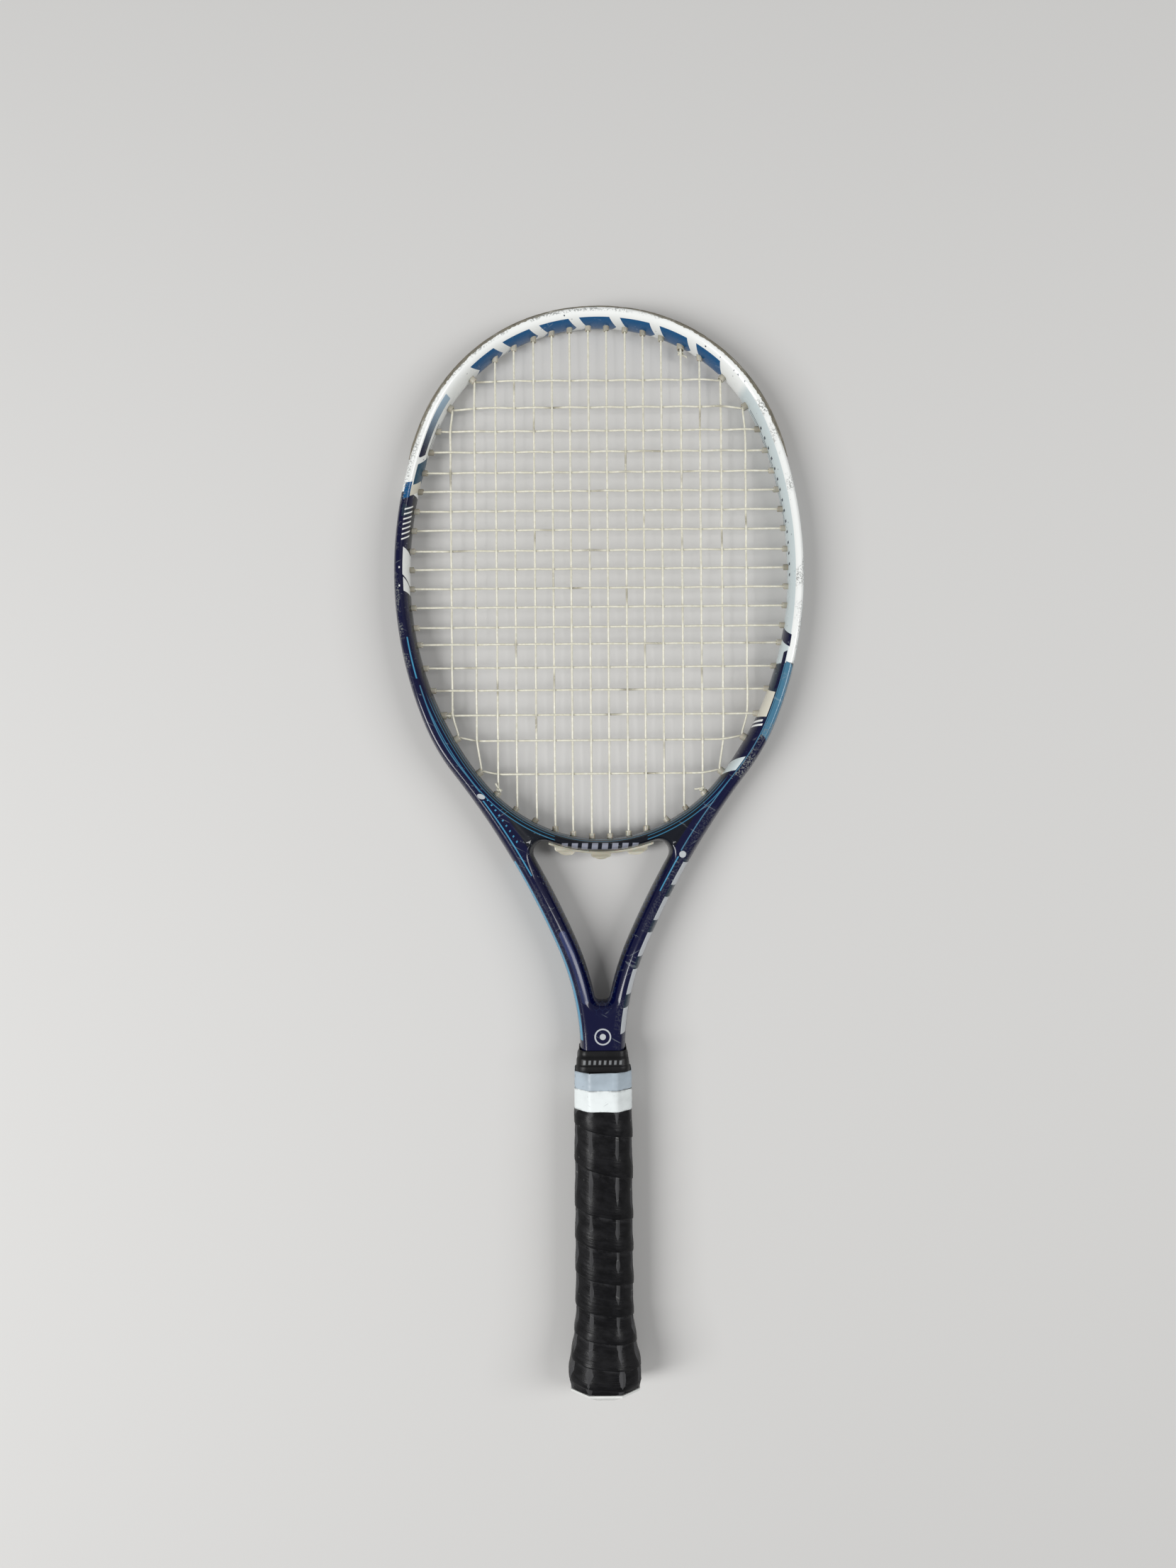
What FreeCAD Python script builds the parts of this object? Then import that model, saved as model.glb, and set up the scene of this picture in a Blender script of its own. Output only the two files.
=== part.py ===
import FreeCAD, Part
import math
import os

from FreeCAD import Vector

# A strung tennis racket, in millimetres. The origin is the middle of the butt end, +Y runs
# from the butt to the tip, +X is across the head, and the string bed lies in the plane Z = 0.

# ---- driving dimensions -------------------------------------------------------------------
# Head
FRAME_TIP_Y = 684.5
HEAD_HALF_WIDTH = 129.0
HEAD_WIDEST_Y = 518.0
HOOP_WIDTH = 9.4
BEAM_HALF_HEIGHT = 12.5
HOOP_BOTTOM_Y = 351.0
CROWN_TURNS = (9.3, 59.5, 21.2)
CROWN_MIDDLE_RADIUS = 115.9
HOOP_FOOT_TURNS = (18.8, 32.9, 38.3)
HOOP_FOOT_MIDDLE_RADIUS = 101.5
# Throat and shafts
SHOULDER_TURNS = (22.33, 15.19, 13.95, 23.57)
SHOULDER_RADII = (250.3, 133.8, 522.8)
SHAFT_WIDTH = 12.8
BRIDGE_WIDTH = 8.0
THROAT_FOOT_Y = 249.0
THROAT_FOOT_RADIUS = 3.4
THROAT_CORNER_RADIUS = 7.0
NECK_HALF_WIDTH = 14.1
NECK_FOOT_Y = 206.0
# Tube walls
EDGE_RADIUS = 4.2
THROAT_EDGE_RADIUS = 3.3
WALL = 1.6
CAVITY_RADIUS = 1.5
TANG_HALF_WIDTH = 12.7
TANG_HALF_HEIGHT = 10.0
TANG_EDGE_RADIUS = 4.0
TANG_FOOT_Y = 18.0
# Channel round the outside, and the strips in it
CHANNEL_DEPTH = 3.0
CHANNEL_HALF_HEIGHT = 5.2
STRIP_THICKNESS = 1.2
GROOVE_HALF_HEIGHT = 3.6
STRIP_TOP_DEPTH = 0.3
STRIP_FOOT_Y = 337.5
BUMPER_THICKNESS = 1.2
BUMPER_HALF_HEIGHT = 8.2
BUMPER_FOOT_Y = 590.0
STRIP_GAP = 0.3
# Grommets
BARREL_RADIUS = 1.9
BARREL_BORE = 0.9
SHARED_BARREL_RADIUS = 2.4
SHARED_BARREL_BORE = 1.55
BARREL_FIT = 0.05
BARREL_PROUD = 3.0
# Strip under the bridge, with a lobe for each loop of string
BRIDGE_STRIP_THICKNESS = 1.3
BRIDGE_STRIP_HALF_HEIGHT = 4.5
BRIDGE_STRIP_HALF_LENGTH = 33.0
LOBE_DROP = 1.6
LOBE_HALF_HEIGHT = 3.2
# Strings
STRING_RADIUS = 0.65
STRING_CLEARANCE = 0.05
MAINS_X = (5.7, 17.5, 28.8, 40.4, 52.8, 64.7, 78.0, 93.3)
CROSSES_Y = (
    640.9, 623.9, 609.1, 595.9, 582.9, 571.0, 558.6, 546.4, 533.4, 521.7,
    509.6, 497.6, 485.0, 474.2, 459.4, 445.1, 429.4, 413.2, 392.0,
)
SHARED_HOLES = {(6, 0), (7, 1), (7, 17), (6, 18)}
BRIDGE_MAINS = 3
LOWER_SLANTS = {3: 42.0, 4: 36.0, 5: 32.0}
WEAVE_HEIGHT = 0.87
WEAVE_RADIUS = 26.0
LANE = 1.4
STRING_BEND = 1.2
MAIN_KNOT = 5
CROSS_KNOT = 4
LAST_CROSS_KNOT = 16
KNOT_RADIUS = 1.6
KNOT_LANE = 2.6
KNOT_STAND_OFF = 1.5
# Handle: each section is an octagon, LIFT flatter from front to back than it is wide
LIFT = 2.25
BEVEL_X = 0.52
BEVEL_Z = 0.5
PALLET_HALF_WIDTH = 15.85
PALLET_Y = (12.0, 202.0)
BASE_GRIP_THICKNESS = 1.7
OVERGRIP_THICKNESS = 0.7
TAPED_OVERGRIP_THICKNESS = 0.35
TAPE_THICKNESS = 0.25
GRIP_FOOT_Y = 8.0
OVERGRIP_TOP_Y = 182.0
OVERGRIP_END_Y = 193.0
TAPE_SPLIT_Y = 195.0
TAPE_TOP_Y = 206.0
# Butt cap: (Y, half-width) up the sleeve that the grip covers, and up the bare lip
CAP_SLEEVE = ((8.0, 19.0), (14.0, 20.7), (20.6, 20.25), (27.3, 18.9), (34.0, 17.55), (42.0, 17.1))
CAP_LIP = ((0.0, 11.2), (6.6, 21.4), (8.0, 21.6))
CAP_POCKET = ((3.0, 11.0), (9.0, 15.0), (12.5, 15.0))
CAP_FIT = 0.05
SLEEVE_END_RAMP = 6.0
DOOR_HALF_WIDTH = 7.6
DOOR_HALF_HEIGHT = 6.2
DOOR_GAP = 0.15
DOOR_RECESS = 0.3
DOOR_THICKNESS = 2.4
DOOR_LEG_LENGTH = 5.0
DOOR_LEG_THICKNESS = 1.1
DOOR_NOTCH_RADIUS = 1.2
# Staples: bar length, wire width, wire thickness, leg length
STAPLE = (8.0, 1.0, 0.6, 5.0)
CAP_STAPLES_Y = 35.0
CAP_STAPLES_X = 5.5
GRIP_STAPLE_Y = 16.5
# Collar
COLLAR_Y = (206.3, 220.0)
COLLAR_GAP = 0.4
COLLAR_RIM = (16.7, 15.1)
COLLAR_RIM_HEIGHT = 4.0
COLLAR_TOP_WALL = 0.55
# Name label on the left shaft
LABEL_Y = (247.0, 291.0)
LABEL_INSET = (4.6, 9.2)
LABEL_THICKNESS = 0.15

os.makedirs("parts", exist_ok=True)


# ---- small geometry helpers ---------------------------------------------------------------
def unit(angle):
    """The direction at an angle in degrees, in the XY plane."""
    return Vector(math.cos(math.radians(angle)), math.sin(math.radians(angle)), 0)


def arc_displacement(heading, turn):
    """Where an arc of radius one ends, from its start: the heading turns by turn degrees."""
    side = 1 if turn > 0 else -1
    return (unit(heading + turn - 90) - unit(heading - 90)) * side


def close_chain(heading, turns, known, goal):
    """Radii of a chain of tangent arcs that ends at goal. known gives some of them by index,
    and the two left out follow from the two equations of where the chain ends."""
    steps = []
    for turn in turns:
        steps.append(arc_displacement(heading, turn))
        heading += turn
    free = [i for i in range(len(turns)) if i not in known]
    rest = goal - sum((steps[i] * known[i] for i in known), Vector())
    a, b = steps[free[0]], steps[free[1]]
    det = a.x * b.y - a.y * b.x
    radii = dict(known)
    radii[free[0]] = (rest.x * b.y - rest.y * b.x) / det
    radii[free[1]] = (a.x * rest.y - a.y * rest.x) / det
    return [radii[i] for i in range(len(turns))]


class Chain:
    """Tangent arcs, one after another: radii and signed turns, positive to the left."""

    def __init__(self, start, heading, radii, turns):
        self.pieces = []
        for radius, turn in zip(radii, turns):
            side = 1 if turn > 0 else -1
            centre = start + unit(heading + 90) * (side * radius)
            self.pieces.append((centre, radius, side, heading, turn))
            heading += turn
            start = centre - unit(heading + 90) * (side * radius)

    def arcs(self, left):
        """Each arc moved sideways to the left of travel: (centre, radius, first, turn)."""
        out = []
        for centre, radius, side, heading, turn in self.pieces:
            out.append((centre, radius - side * left, heading - 90 * side, turn))
        return out

    def edges(self, left=0.0):
        edges = []
        for centre, radius, first, turn in self.arcs(left):
            ends = [centre + unit(first + turn * share) * radius for share in (0, 0.5, 1)]
            edges.append(Part.Arc(*ends).toShape())
        return edges

    def hit(self, origin, direction, left=0.0):
        """The nearest point where a ray from origin meets the chain."""
        best = None
        for centre, radius, first, turn in self.arcs(left):
            to_origin = origin - centre
            along = to_origin.dot(direction)
            inside = along * along - to_origin.dot(to_origin) + radius * radius
            if inside < 0:
                continue
            for t in (-along - math.sqrt(inside), -along + math.sqrt(inside)):
                radial = origin + direction * t - centre
                swept = math.degrees(math.atan2(radial.y, radial.x)) - first
                swept = (swept if turn > 0 else -swept) % 360
                if t > 0 and (swept <= abs(turn) + 0.01 or swept > 359.99):
                    best = t if best is None else min(best, t)
        return origin + direction * best

    def outward(self, point):
        """The direction away from the centre of the arc that faces the point."""
        for centre, radius, side, heading, turn in self.pieces:
            radial = point - centre
            swept = math.degrees(math.atan2(radial.y, radial.x)) - (heading - 90 * side)
            swept = (swept if turn > 0 else -swept) % 360
            if swept <= abs(turn):
                return radial.normalize()
        raise ValueError("no arc faces this point")


def mirrored(edges):
    """The edges' mirror images across the plane X = 0."""
    return [e.mirror(Vector(), Vector(1, 0, 0)) for e in edges]


def face_of(edges):
    return Part.Face(Part.Wire(Part.__sortEdges__(edges)))


def prism(face, half_height):
    """The face carried from -half_height to half_height."""
    face = face.translated(Vector(0, 0, -half_height))
    return face.extrude(Vector(0, 0, 2 * half_height))


def box(x, y, z):
    """A box from (low, high) pairs."""
    corner = Vector(x[0], y[0], z[0])
    return Part.makeBox(x[1] - x[0], y[1] - y[0], z[1] - z[0], corner)


def rod(start, end, radius):
    return Part.makeCylinder(radius, (end - start).Length, start, end - start)


def union(shapes):
    """All the shapes as one solid."""
    return shapes[0].multiFuse(shapes[1:]).removeSplitter()


def write(name, shape):
    if not shape.isValid():
        raise ValueError(name + " is not a valid solid")
    shape.exportStep("parts/" + name + ".step")
    print(name, len(shape.Solids), "solid(s)", round(shape.Volume), "mm3")


# ---- the racket's plan, as chains of tangent arcs -----------------------------------------
widest = Vector(HEAD_HALF_WIDTH, HEAD_WIDEST_Y, 0)
tip = Vector(0, FRAME_TIP_Y, 0)

crown_turns = [-t for t in CROWN_TURNS]
crown_radii = close_chain(0, crown_turns, {1: CROWN_MIDDLE_RADIUS}, widest - tip)
side_turns = [-SHOULDER_TURNS[0], -SHOULDER_TURNS[1], SHOULDER_TURNS[2], SHOULDER_TURNS[3]]
# the last radius is the one that brings the shaft's side to the neck's width
side_heading = -90
neck = Vector(widest)
for turn, radius in zip(side_turns, SHOULDER_RADII):
    neck += arc_displacement(side_heading, turn) * radius
    side_heading += turn
last_step = arc_displacement(side_heading, side_turns[-1])
side_radii = list(SHOULDER_RADII) + [(NECK_HALF_WIDTH - neck.x) / last_step.x]
neck += last_step * side_radii[-1]
outer = Chain(tip, 0, crown_radii + side_radii, crown_turns + side_turns)
shaft_side = Chain(widest, -90, side_radii, side_turns)

hoop_foot = Vector(0, HOOP_BOTTOM_Y, 0)
hoop_widest = widest - Vector(HOOP_WIDTH, 0, 0)
foot_known = {1: HOOP_FOOT_MIDDLE_RADIUS}
foot_radii = close_chain(0, HOOP_FOOT_TURNS, foot_known, hoop_widest - hoop_foot)
foot = Chain(hoop_foot, 0, foot_radii, HOOP_FOOT_TURNS)
top_radii = [r - HOOP_WIDTH for r in reversed(crown_radii)]
top_turns = list(reversed(CROWN_TURNS))
hoop = Chain(hoop_foot, 0, foot_radii + top_radii, list(HOOP_FOOT_TURNS) + top_turns)
print("outline radii", [round(r, 1) for r in crown_radii + side_radii + foot_radii], neck)


def outline_face(grow):
    """The racket's outline down to the neck's foot, grown outwards by grow."""
    right = outer.edges(grow)
    x = NECK_HALF_WIDTH + grow
    low = Vector(x, NECK_FOOT_Y, 0)
    straight = Part.LineSegment(Vector(x, neck.y, 0), low).toShape()
    right.append(straight)
    bottom = Part.LineSegment(low, Vector(-x, NECK_FOOT_Y, 0)).toShape()
    return face_of(right + mirrored(right) + [bottom])


def hoop_face(grow):
    """The opening inside the hoop, grown outwards by grow."""
    right = hoop.edges(-grow)
    return face_of(right + mirrored(right))


def throat_prism(grow, half_height):
    """The opening between the shafts and the bridge, grown outwards by grow."""
    right = shaft_side.edges(grow - SHAFT_WIDTH)
    ends = (widest - Vector(SHAFT_WIDTH - grow, 0, 0), neck - Vector(SHAFT_WIDTH - grow, 0, 0))
    lines = [Part.LineSegment(Vector(-p.x, p.y, 0), p).toShape() for p in ends]
    wedge = prism(face_of(right + mirrored(right) + lines), half_height)
    wedge = wedge.cut(prism(hoop_face(BRIDGE_WIDTH - grow), half_height + 1))
    span = HEAD_HALF_WIDTH
    foot_y = THROAT_FOOT_Y - grow
    wedge = wedge.common(box((-span, span), (foot_y, HEAD_WIDEST_Y), (-50, 50)))
    wedge = max(wedge.Solids, key=lambda s: s.BoundBox.ZLength * -s.BoundBox.YMin)
    upright = sorted(filter(is_upright, wedge.Edges), key=lambda e: abs(e.BoundBox.XMin))
    wedge = wedge.makeFillet(THROAT_CORNER_RADIUS + grow, upright[-2:])
    low = [e for e in wedge.Edges if is_upright(e) and e.BoundBox.YMin < THROAT_FOOT_Y - grow + 0.1]
    return wedge.makeFillet(THROAT_FOOT_RADIUS + grow, low)


def is_upright(edge):
    b = edge.BoundBox
    return b.XLength < 0.01 and b.YLength < 0.01 and b.ZLength > 0.1


def rim_edges(shape, half_height):
    """The edges that lie in the two flat faces of a plate."""
    return [e for e in shape.Edges if abs(abs(e.CenterOfMass.z) - half_height) < 0.01]


# ---- where the strings pass through the frame ---------------------------------------------
STRIP_FLOOR = CHANNEL_DEPTH - STRIP_THICKNESS
STRING_DEPTH = STRIP_FLOOR - STRING_RADIUS - STRING_CLEARANCE
UP, DOWN, ACROSS = Vector(0, 1, 0), Vector(0, -1, 0), Vector(1, 0, 0)
HEAD_CENTRE = Vector(0, HEAD_WIDEST_Y, 0)


class Hole:
    """One grommet hole. Its axis runs from inner, the barrel's end inside the hoop, to out,
    where it meets the strings' line outside. lanes are the heights of the strings in it."""

    def __init__(self, strip, side, inner, out, lanes):
        self.strip = strip
        self.side = side
        self.inner = Vector(inner.x * side, inner.y, 0)
        self.out = Vector(out.x * side, out.y, 0)
        self.direction = (self.out - self.inner).normalize()
        self.height = sum(lanes) / len(lanes)
        shared = len(lanes) > 1
        self.radius = SHARED_BARREL_RADIUS if shared else BARREL_RADIUS
        self.bore = SHARED_BARREL_BORE if shared else BARREL_BORE

    def rod(self, radius, inside, outside):
        """A rod on the hole's axis that runs past both ends by inside and outside."""
        lift = Vector(0, 0, self.height)
        start = self.inner - self.direction * inside + lift
        return rod(start, self.out + self.direction * outside + lift, radius)


def straight_hole(strip, side, start, direction, lanes):
    """A hole along the string's own line."""
    mouth = hoop.hit(start, direction)
    out = outer.hit(mouth, direction, -STRING_DEPTH)
    return Hole(strip, side, mouth - direction * BARREL_PROUD, out, lanes)


def bridge_hole(side, x):
    mouth = hoop.hit(Vector(x, HEAD_WIDEST_Y, 0), DOWN)
    drop = BRIDGE_WIDTH + BRIDGE_STRIP_THICKNESS + STRING_RADIUS + LOBE_DROP
    out = foot.hit(mouth + DOWN * 0.1, DOWN, -drop)
    return Hole("bridge", side, mouth - DOWN * BARREL_PROUD, out, (0.0,))


def slanted_hole(side, x, slant, lanes):
    """A hole that leaves the main string's line and runs out through the shaft."""
    inner = hoop.hit(Vector(x, HEAD_WIDEST_Y, 0), DOWN) - DOWN * BARREL_PROUD
    direction = unit(-90 + slant)
    return Hole("side", side, inner, outer.hit(inner, direction, -STRING_DEPTH), lanes)


def shared_hole(strip, side, x, y):
    """A hole that a main string and a cross string share, square to the hoop's wall."""
    corner = Vector(x, y, 0)
    direction = hoop.outward(corner)
    mouth = hoop.hit(corner - direction * 20, direction)
    out = outer.hit(mouth, direction, -STRING_DEPTH)
    return Hole(strip, side, mouth - direction * BARREL_PROUD, out, (0.0, -LANE))


def string_holes():
    """Every hole by name: T or F is a main string's at the tip or the foot of the hoop, C a
    cross string's. The number counts from the middle or from the tip, R or L is the side."""
    holes = {}
    for side, letter in ((1, "R"), (-1, "L")):
        for main, cross in sorted(SHARED_HOLES):
            at_tip = CROSSES_Y[cross] > HEAD_WIDEST_Y
            strip = "bumper" if at_tip else "side"
            hole = shared_hole(strip, side, MAINS_X[main], CROSSES_Y[cross])
            holes[("T" if at_tip else "F") + str(main) + letter] = hole
            holes["C" + str(cross) + letter] = hole
        for main, x in enumerate(MAINS_X):
            if "T" + str(main) + letter in holes:
                continue
            lanes = (0.0, -LANE) if (main, side) == (CROSS_KNOT, 1) else (0.0,)
            top = straight_hole("bumper", side, Vector(x, HEAD_WIDEST_Y, 0), UP, lanes)
            holes["T" + str(main) + letter] = top
            if main < BRIDGE_MAINS:
                low = bridge_hole(side, x)
            else:
                lanes = (0.0, LANE) if main == MAIN_KNOT else (0.0,)
                low = slanted_hole(side, x, LOWER_SLANTS[main], lanes)
            holes["F" + str(main) + letter] = low
        for cross, y in enumerate(CROSSES_Y):
            if "C" + str(cross) + letter in holes:
                continue
            lanes = (0.0, -LANE) if (cross, side) == (LAST_CROSS_KNOT, -1) else (0.0,)
            strip = "bumper" if y > BUMPER_FOOT_Y else "side"
            hole = straight_hole(strip, side, Vector(0, y, 0), ACROSS, lanes)
            holes["C" + str(cross) + letter] = hole
    return holes


HOLES = string_holes()
EACH_HOLE = list({id(h): h for h in HOLES.values()}.values())


# ---- the frame ----------------------------------------------------------------------------
def ring(grow_out, grow_in, half_height):
    """The band between two outlines, grown by grow_out and grow_in."""
    band = prism(outline_face(grow_out), half_height)
    return band.cut(prism(outline_face(grow_in), half_height + 1))


def above(y):
    return box((-200, 200), (y, 800), (-60, 60))


def tang(shrink, foot_y, top_y):
    """The part of the frame inside the handle."""
    w = TANG_HALF_WIDTH - shrink
    h = TANG_HALF_HEIGHT - shrink
    block = box((-w, w), (foot_y, top_y), (-h, h))
    long_edges = [e for e in block.Edges if e.BoundBox.YLength > 10]
    return block.makeFillet(TANG_EDGE_RADIUS - shrink, long_edges)


def make_frame():
    """One hollow moulding: the hoop, the bridge, the two shafts and the tang in the handle."""
    plate = prism(outline_face(0), BEAM_HALF_HEIGHT)
    plate = plate.cut(prism(hoop_face(0), BEAM_HALF_HEIGHT + 1))
    plate = plate.cut(throat_prism(0, BEAM_HALF_HEIGHT + 1))
    rim = [e for e in rim_edges(plate, BEAM_HALF_HEIGHT) if not is_throat_edge(e)]
    rim = [e for e in rim if abs(e.CenterOfMass.y - NECK_FOOT_Y) > 0.5]
    plate = plate.makeFillet(EDGE_RADIUS, rim)
    rim = [e for e in rim_edges(plate, BEAM_HALF_HEIGHT) if is_throat_edge(e)]
    plate = plate.makeFillet(THROAT_EDGE_RADIUS, rim)
    body = plate.fuse(tang(0, TANG_FOOT_Y, NECK_FOOT_Y + 3))

    inside = BEAM_HALF_HEIGHT - WALL
    hollow = prism(outline_face(-WALL), inside)
    hollow = hollow.cut(prism(hoop_face(WALL), inside + 1))
    hollow = hollow.cut(throat_prism(WALL, inside + 1))
    hollow = hollow.common(above(NECK_FOOT_Y + WALL))
    hollow = hollow.makeFillet(CAVITY_RADIUS, rim_edges(hollow, inside))
    under_channel = ring(1, -CHANNEL_DEPTH - WALL, CHANNEL_HALF_HEIGHT + WALL)
    hollow = hollow.cut(under_channel.common(above(STRIP_FOOT_Y - WALL)))
    hollow = hollow.fuse(tang(WALL, TANG_FOOT_Y - 5, NECK_FOOT_Y + WALL + 1))
    web = box((-WALL / 2, WALL / 2), (0, THROAT_FOOT_Y), (-20, 20))
    hollow = hollow.cut(web)
    body = body.cut(hollow)

    channel = ring(5, -CHANNEL_DEPTH, CHANNEL_HALF_HEIGHT).common(above(STRIP_FOOT_Y))
    body = body.cut(channel)
    drills = [hole.rod(hole.radius + BARREL_FIT, 1, 0) for hole in EACH_HOLE]
    return body.cut(Part.makeCompound(drills))


def is_throat_edge(edge):
    """Whether an edge of the plate's face lies round the throat opening."""
    middle = edge.valueAt((edge.FirstParameter + edge.LastParameter) / 2)
    if middle.y < THROAT_FOOT_Y - 6 or middle.y > HOOP_BOTTOM_Y + 12:
        return False
    probe = shaft_side.hit(Vector(0, max(middle.y, THROAT_FOOT_Y), 0), Vector(1, 0, 0))
    inside_shaft = abs(middle.x) < probe.x - SHAFT_WIDTH / 2
    z_free = Vector(middle.x, middle.y, 0)
    below_hoop = (z_free - Vector(0, HOOP_BOTTOM_Y + foot_radii[0], 0)).Length
    return inside_shaft and below_hoop > foot_radii[0] + BRIDGE_WIDTH / 2


# ---- bumper and grommet strips ------------------------------------------------------------
def with_barrels(strip, holes, floor):
    """A strip with its barrels. floor is the solid that the barrels' outer ends stop at."""
    barrels = [hole.rod(hole.radius, 0, 0).common(floor) for hole in holes]
    bores = [hole.rod(hole.bore, 1, 4) for hole in holes]
    return union([strip] + barrels).cut(Part.makeCompound(bores))


def channel_strip(holes, region, covered):
    """The strip in the channel: a floor with a rail along each edge, and where covered is
    true a cover over the outside of the frame as well."""
    half_height = CHANNEL_HALF_HEIGHT - BARREL_FIT
    top = 0.0 if covered else -STRIP_TOP_DEPTH
    strip = ring(top, -CHANNEL_DEPTH, half_height)
    if covered:
        strip = strip.fuse(ring(BUMPER_THICKNESS, 0, BUMPER_HALF_HEIGHT))
    groove = ring(BUMPER_THICKNESS + 1, -STRIP_FLOOR, GROOVE_HALF_HEIGHT)
    strip = strip.cut(groove).common(region).removeSplitter()
    return with_barrels(strip, holes, prism(outline_face(-STRIP_FLOOR), 20))


def lobe(a, b):
    """The rounded bump that one loop of string runs round, between the holes a and b."""
    along = (b.out - a.out).normalize()
    inwards = Vector(-along.y, along.x, 0)
    side = STRING_RADIUS + STRING_CLEARANCE
    corner = side + 2 * STRING_CLEARANCE + STRING_BEND / 2
    outline = [
        a.out + along * side + inwards * 8,
        a.out + along * side + inwards * corner,
        a.out + along * corner + inwards * side,
        b.out - along * corner + inwards * side,
        b.out - along * side + inwards * corner,
        b.out - along * side + inwards * 8,
    ]
    core = prism(Part.Face(Part.makePolygon(outline + outline[:1])), LOBE_HALF_HEIGHT)
    ends = (a.out - along * 1.3 + inwards * 3, b.out + along * 1.3 + inwards * 3)
    middle = (a.out + b.out) * 0.5 - inwards * 1.6
    arc = Part.Arc(ends[0], middle, ends[1]).toShape()
    cheeks = prism(face_of([arc, Part.LineSegment(ends[1], ends[0]).toShape()]), LOBE_HALF_HEIGHT)
    slot = box((-60, 60), (300, 400), (-side, side))
    return core.fuse(cheeks.cut(slot))


def make_bridge_strip():
    """The strip under the bridge, with its barrels and three lobes."""
    face = hoop_face(BRIDGE_WIDTH + BRIDGE_STRIP_THICKNESS)
    bridge = prism(hoop_face(BRIDGE_WIDTH), 20)
    band = prism(face, BRIDGE_STRIP_HALF_HEIGHT)
    reach = BRIDGE_STRIP_HALF_LENGTH
    band = band.common(box((-reach, reach), (300, HOOP_BOTTOM_Y), (-20, 20)))
    rows = [("F0L", "F0R"), ("F1R", "F2R"), ("F2L", "F1L")]
    lobes = [lobe(HOLES[a], HOLES[b]) for a, b in rows]
    strip = union([band] + lobes).cut(bridge)
    holes = [h for h in EACH_HOLE if h.strip == "bridge"]
    return with_barrels(strip, holes, prism(face, 20))


def make_strips():
    bumper_region = above(BUMPER_FOOT_Y + STRIP_GAP)
    bumper_holes = [h for h in EACH_HOLE if h.strip == "bumper"]
    strips = {"bumper_guard": channel_strip(bumper_holes, bumper_region, True)}
    for side, name in ((1, "right"), (-1, "left")):
        span = (0, 200) if side > 0 else (-200, 0)
        region = box(span, (STRIP_FOOT_Y, BUMPER_FOOT_Y), (-20, 20))
        holes = [h for h in EACH_HOLE if h.strip == "side" and h.side == side]
        strips["grommet_strip_" + name] = channel_strip(holes, region, False)
    strips["bridge_grommet_strip"] = make_bridge_strip()
    return strips


# ---- strings ------------------------------------------------------------------------------
def rounded_wire(points):
    """Straight runs joined by tangent arcs. Each point is (place, radius wanted)."""
    edges = []
    start = points[0][0]
    for k in range(1, len(points) - 1):
        before, (place, radius), after = points[k - 1][0], points[k], points[k + 1][0]
        arriving = (place - before).normalize()
        leaving = (after - place).normalize()
        half_turn = arriving.getAngle(leaving) / 2
        if half_turn < 0.002:
            continue
        shorter = min((place - before).Length, (after - place).Length)
        run_in = min(radius * math.tan(half_turn), 0.45 * shorter)
        radius = run_in / math.tan(half_turn)
        towards = (leaving - arriving).normalize()
        ends = (place - arriving * run_in, place + leaving * run_in)
        middle = place + towards * (radius / math.cos(half_turn) - radius)
        edges.append(Part.LineSegment(start, ends[0]).toShape())
        edges.append(Part.Arc(ends[0], middle, ends[1]).toShape())
        start = ends[1]
    edges.append(Part.LineSegment(start, points[-1][0]).toShape())
    return Part.Wire(edges)


def string_along(points, knots):
    """The string along its route, with a knot at each of the given places."""
    route = rounded_wire(points)
    first = points[0][0]
    circle = Part.Circle(first, points[1][0] - first, STRING_RADIUS).toShape()
    string = Part.Wire(route).makePipeShell([Part.Wire(circle)], True, False)
    section = math.pi * STRING_RADIUS ** 2
    print("string", round(route.Length), "mm", round(string.Volume / (section * route.Length), 4))
    return union([string] + [Part.makeSphere(KNOT_RADIUS, place) for place in knots])


def at(point, z):
    return Vector(point.x, point.y, z)


def over_groove(a, b, low, high):
    """Points along the outside between two holes: none, or one where the way is long."""
    if (b - a).Length < 16:
        return []
    middle = (a + b) * 0.5
    side = 1 if middle.x > 0 else -1
    ray = (Vector(middle.x * side, middle.y, 0) - HEAD_CENTRE).normalize()
    place = outer.hit(HEAD_CENTRE, ray, -STRING_DEPTH)
    return [(Vector(place.x * side, place.y, (low + high) / 2), WEAVE_RADIUS)]


def through(hole, z, outwards):
    """A string's two points in a hole, at its lane."""
    pair = [(at(hole.inner, z), STRING_BEND * 3), (at(hole.out, z), STRING_BEND)]
    return pair if outwards else pair[::-1]


def main_crossings(main):
    """The cross strings, tip to foot, that a main string passes over or under."""
    ends = [cross for m, cross in SHARED_HOLES if m == main]
    return [j for j in range(len(CROSSES_Y)) if not ends or min(ends) < j < max(ends)]


def weave(main, side, cross):
    """Where a main and a cross pass each other, and the main string's height there."""
    column = main if side > 0 else -1 - main
    height = WEAVE_HEIGHT if (column + cross) % 2 == 0 else -WEAVE_HEIGHT
    return Vector(MAINS_X[main] * side, CROSSES_Y[cross], height)


def knot_place(hole, z):
    lane = KNOT_LANE if z > 0 else -KNOT_LANE
    return at(hole.inner - hole.direction * KNOT_STAND_OFF, lane)


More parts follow.
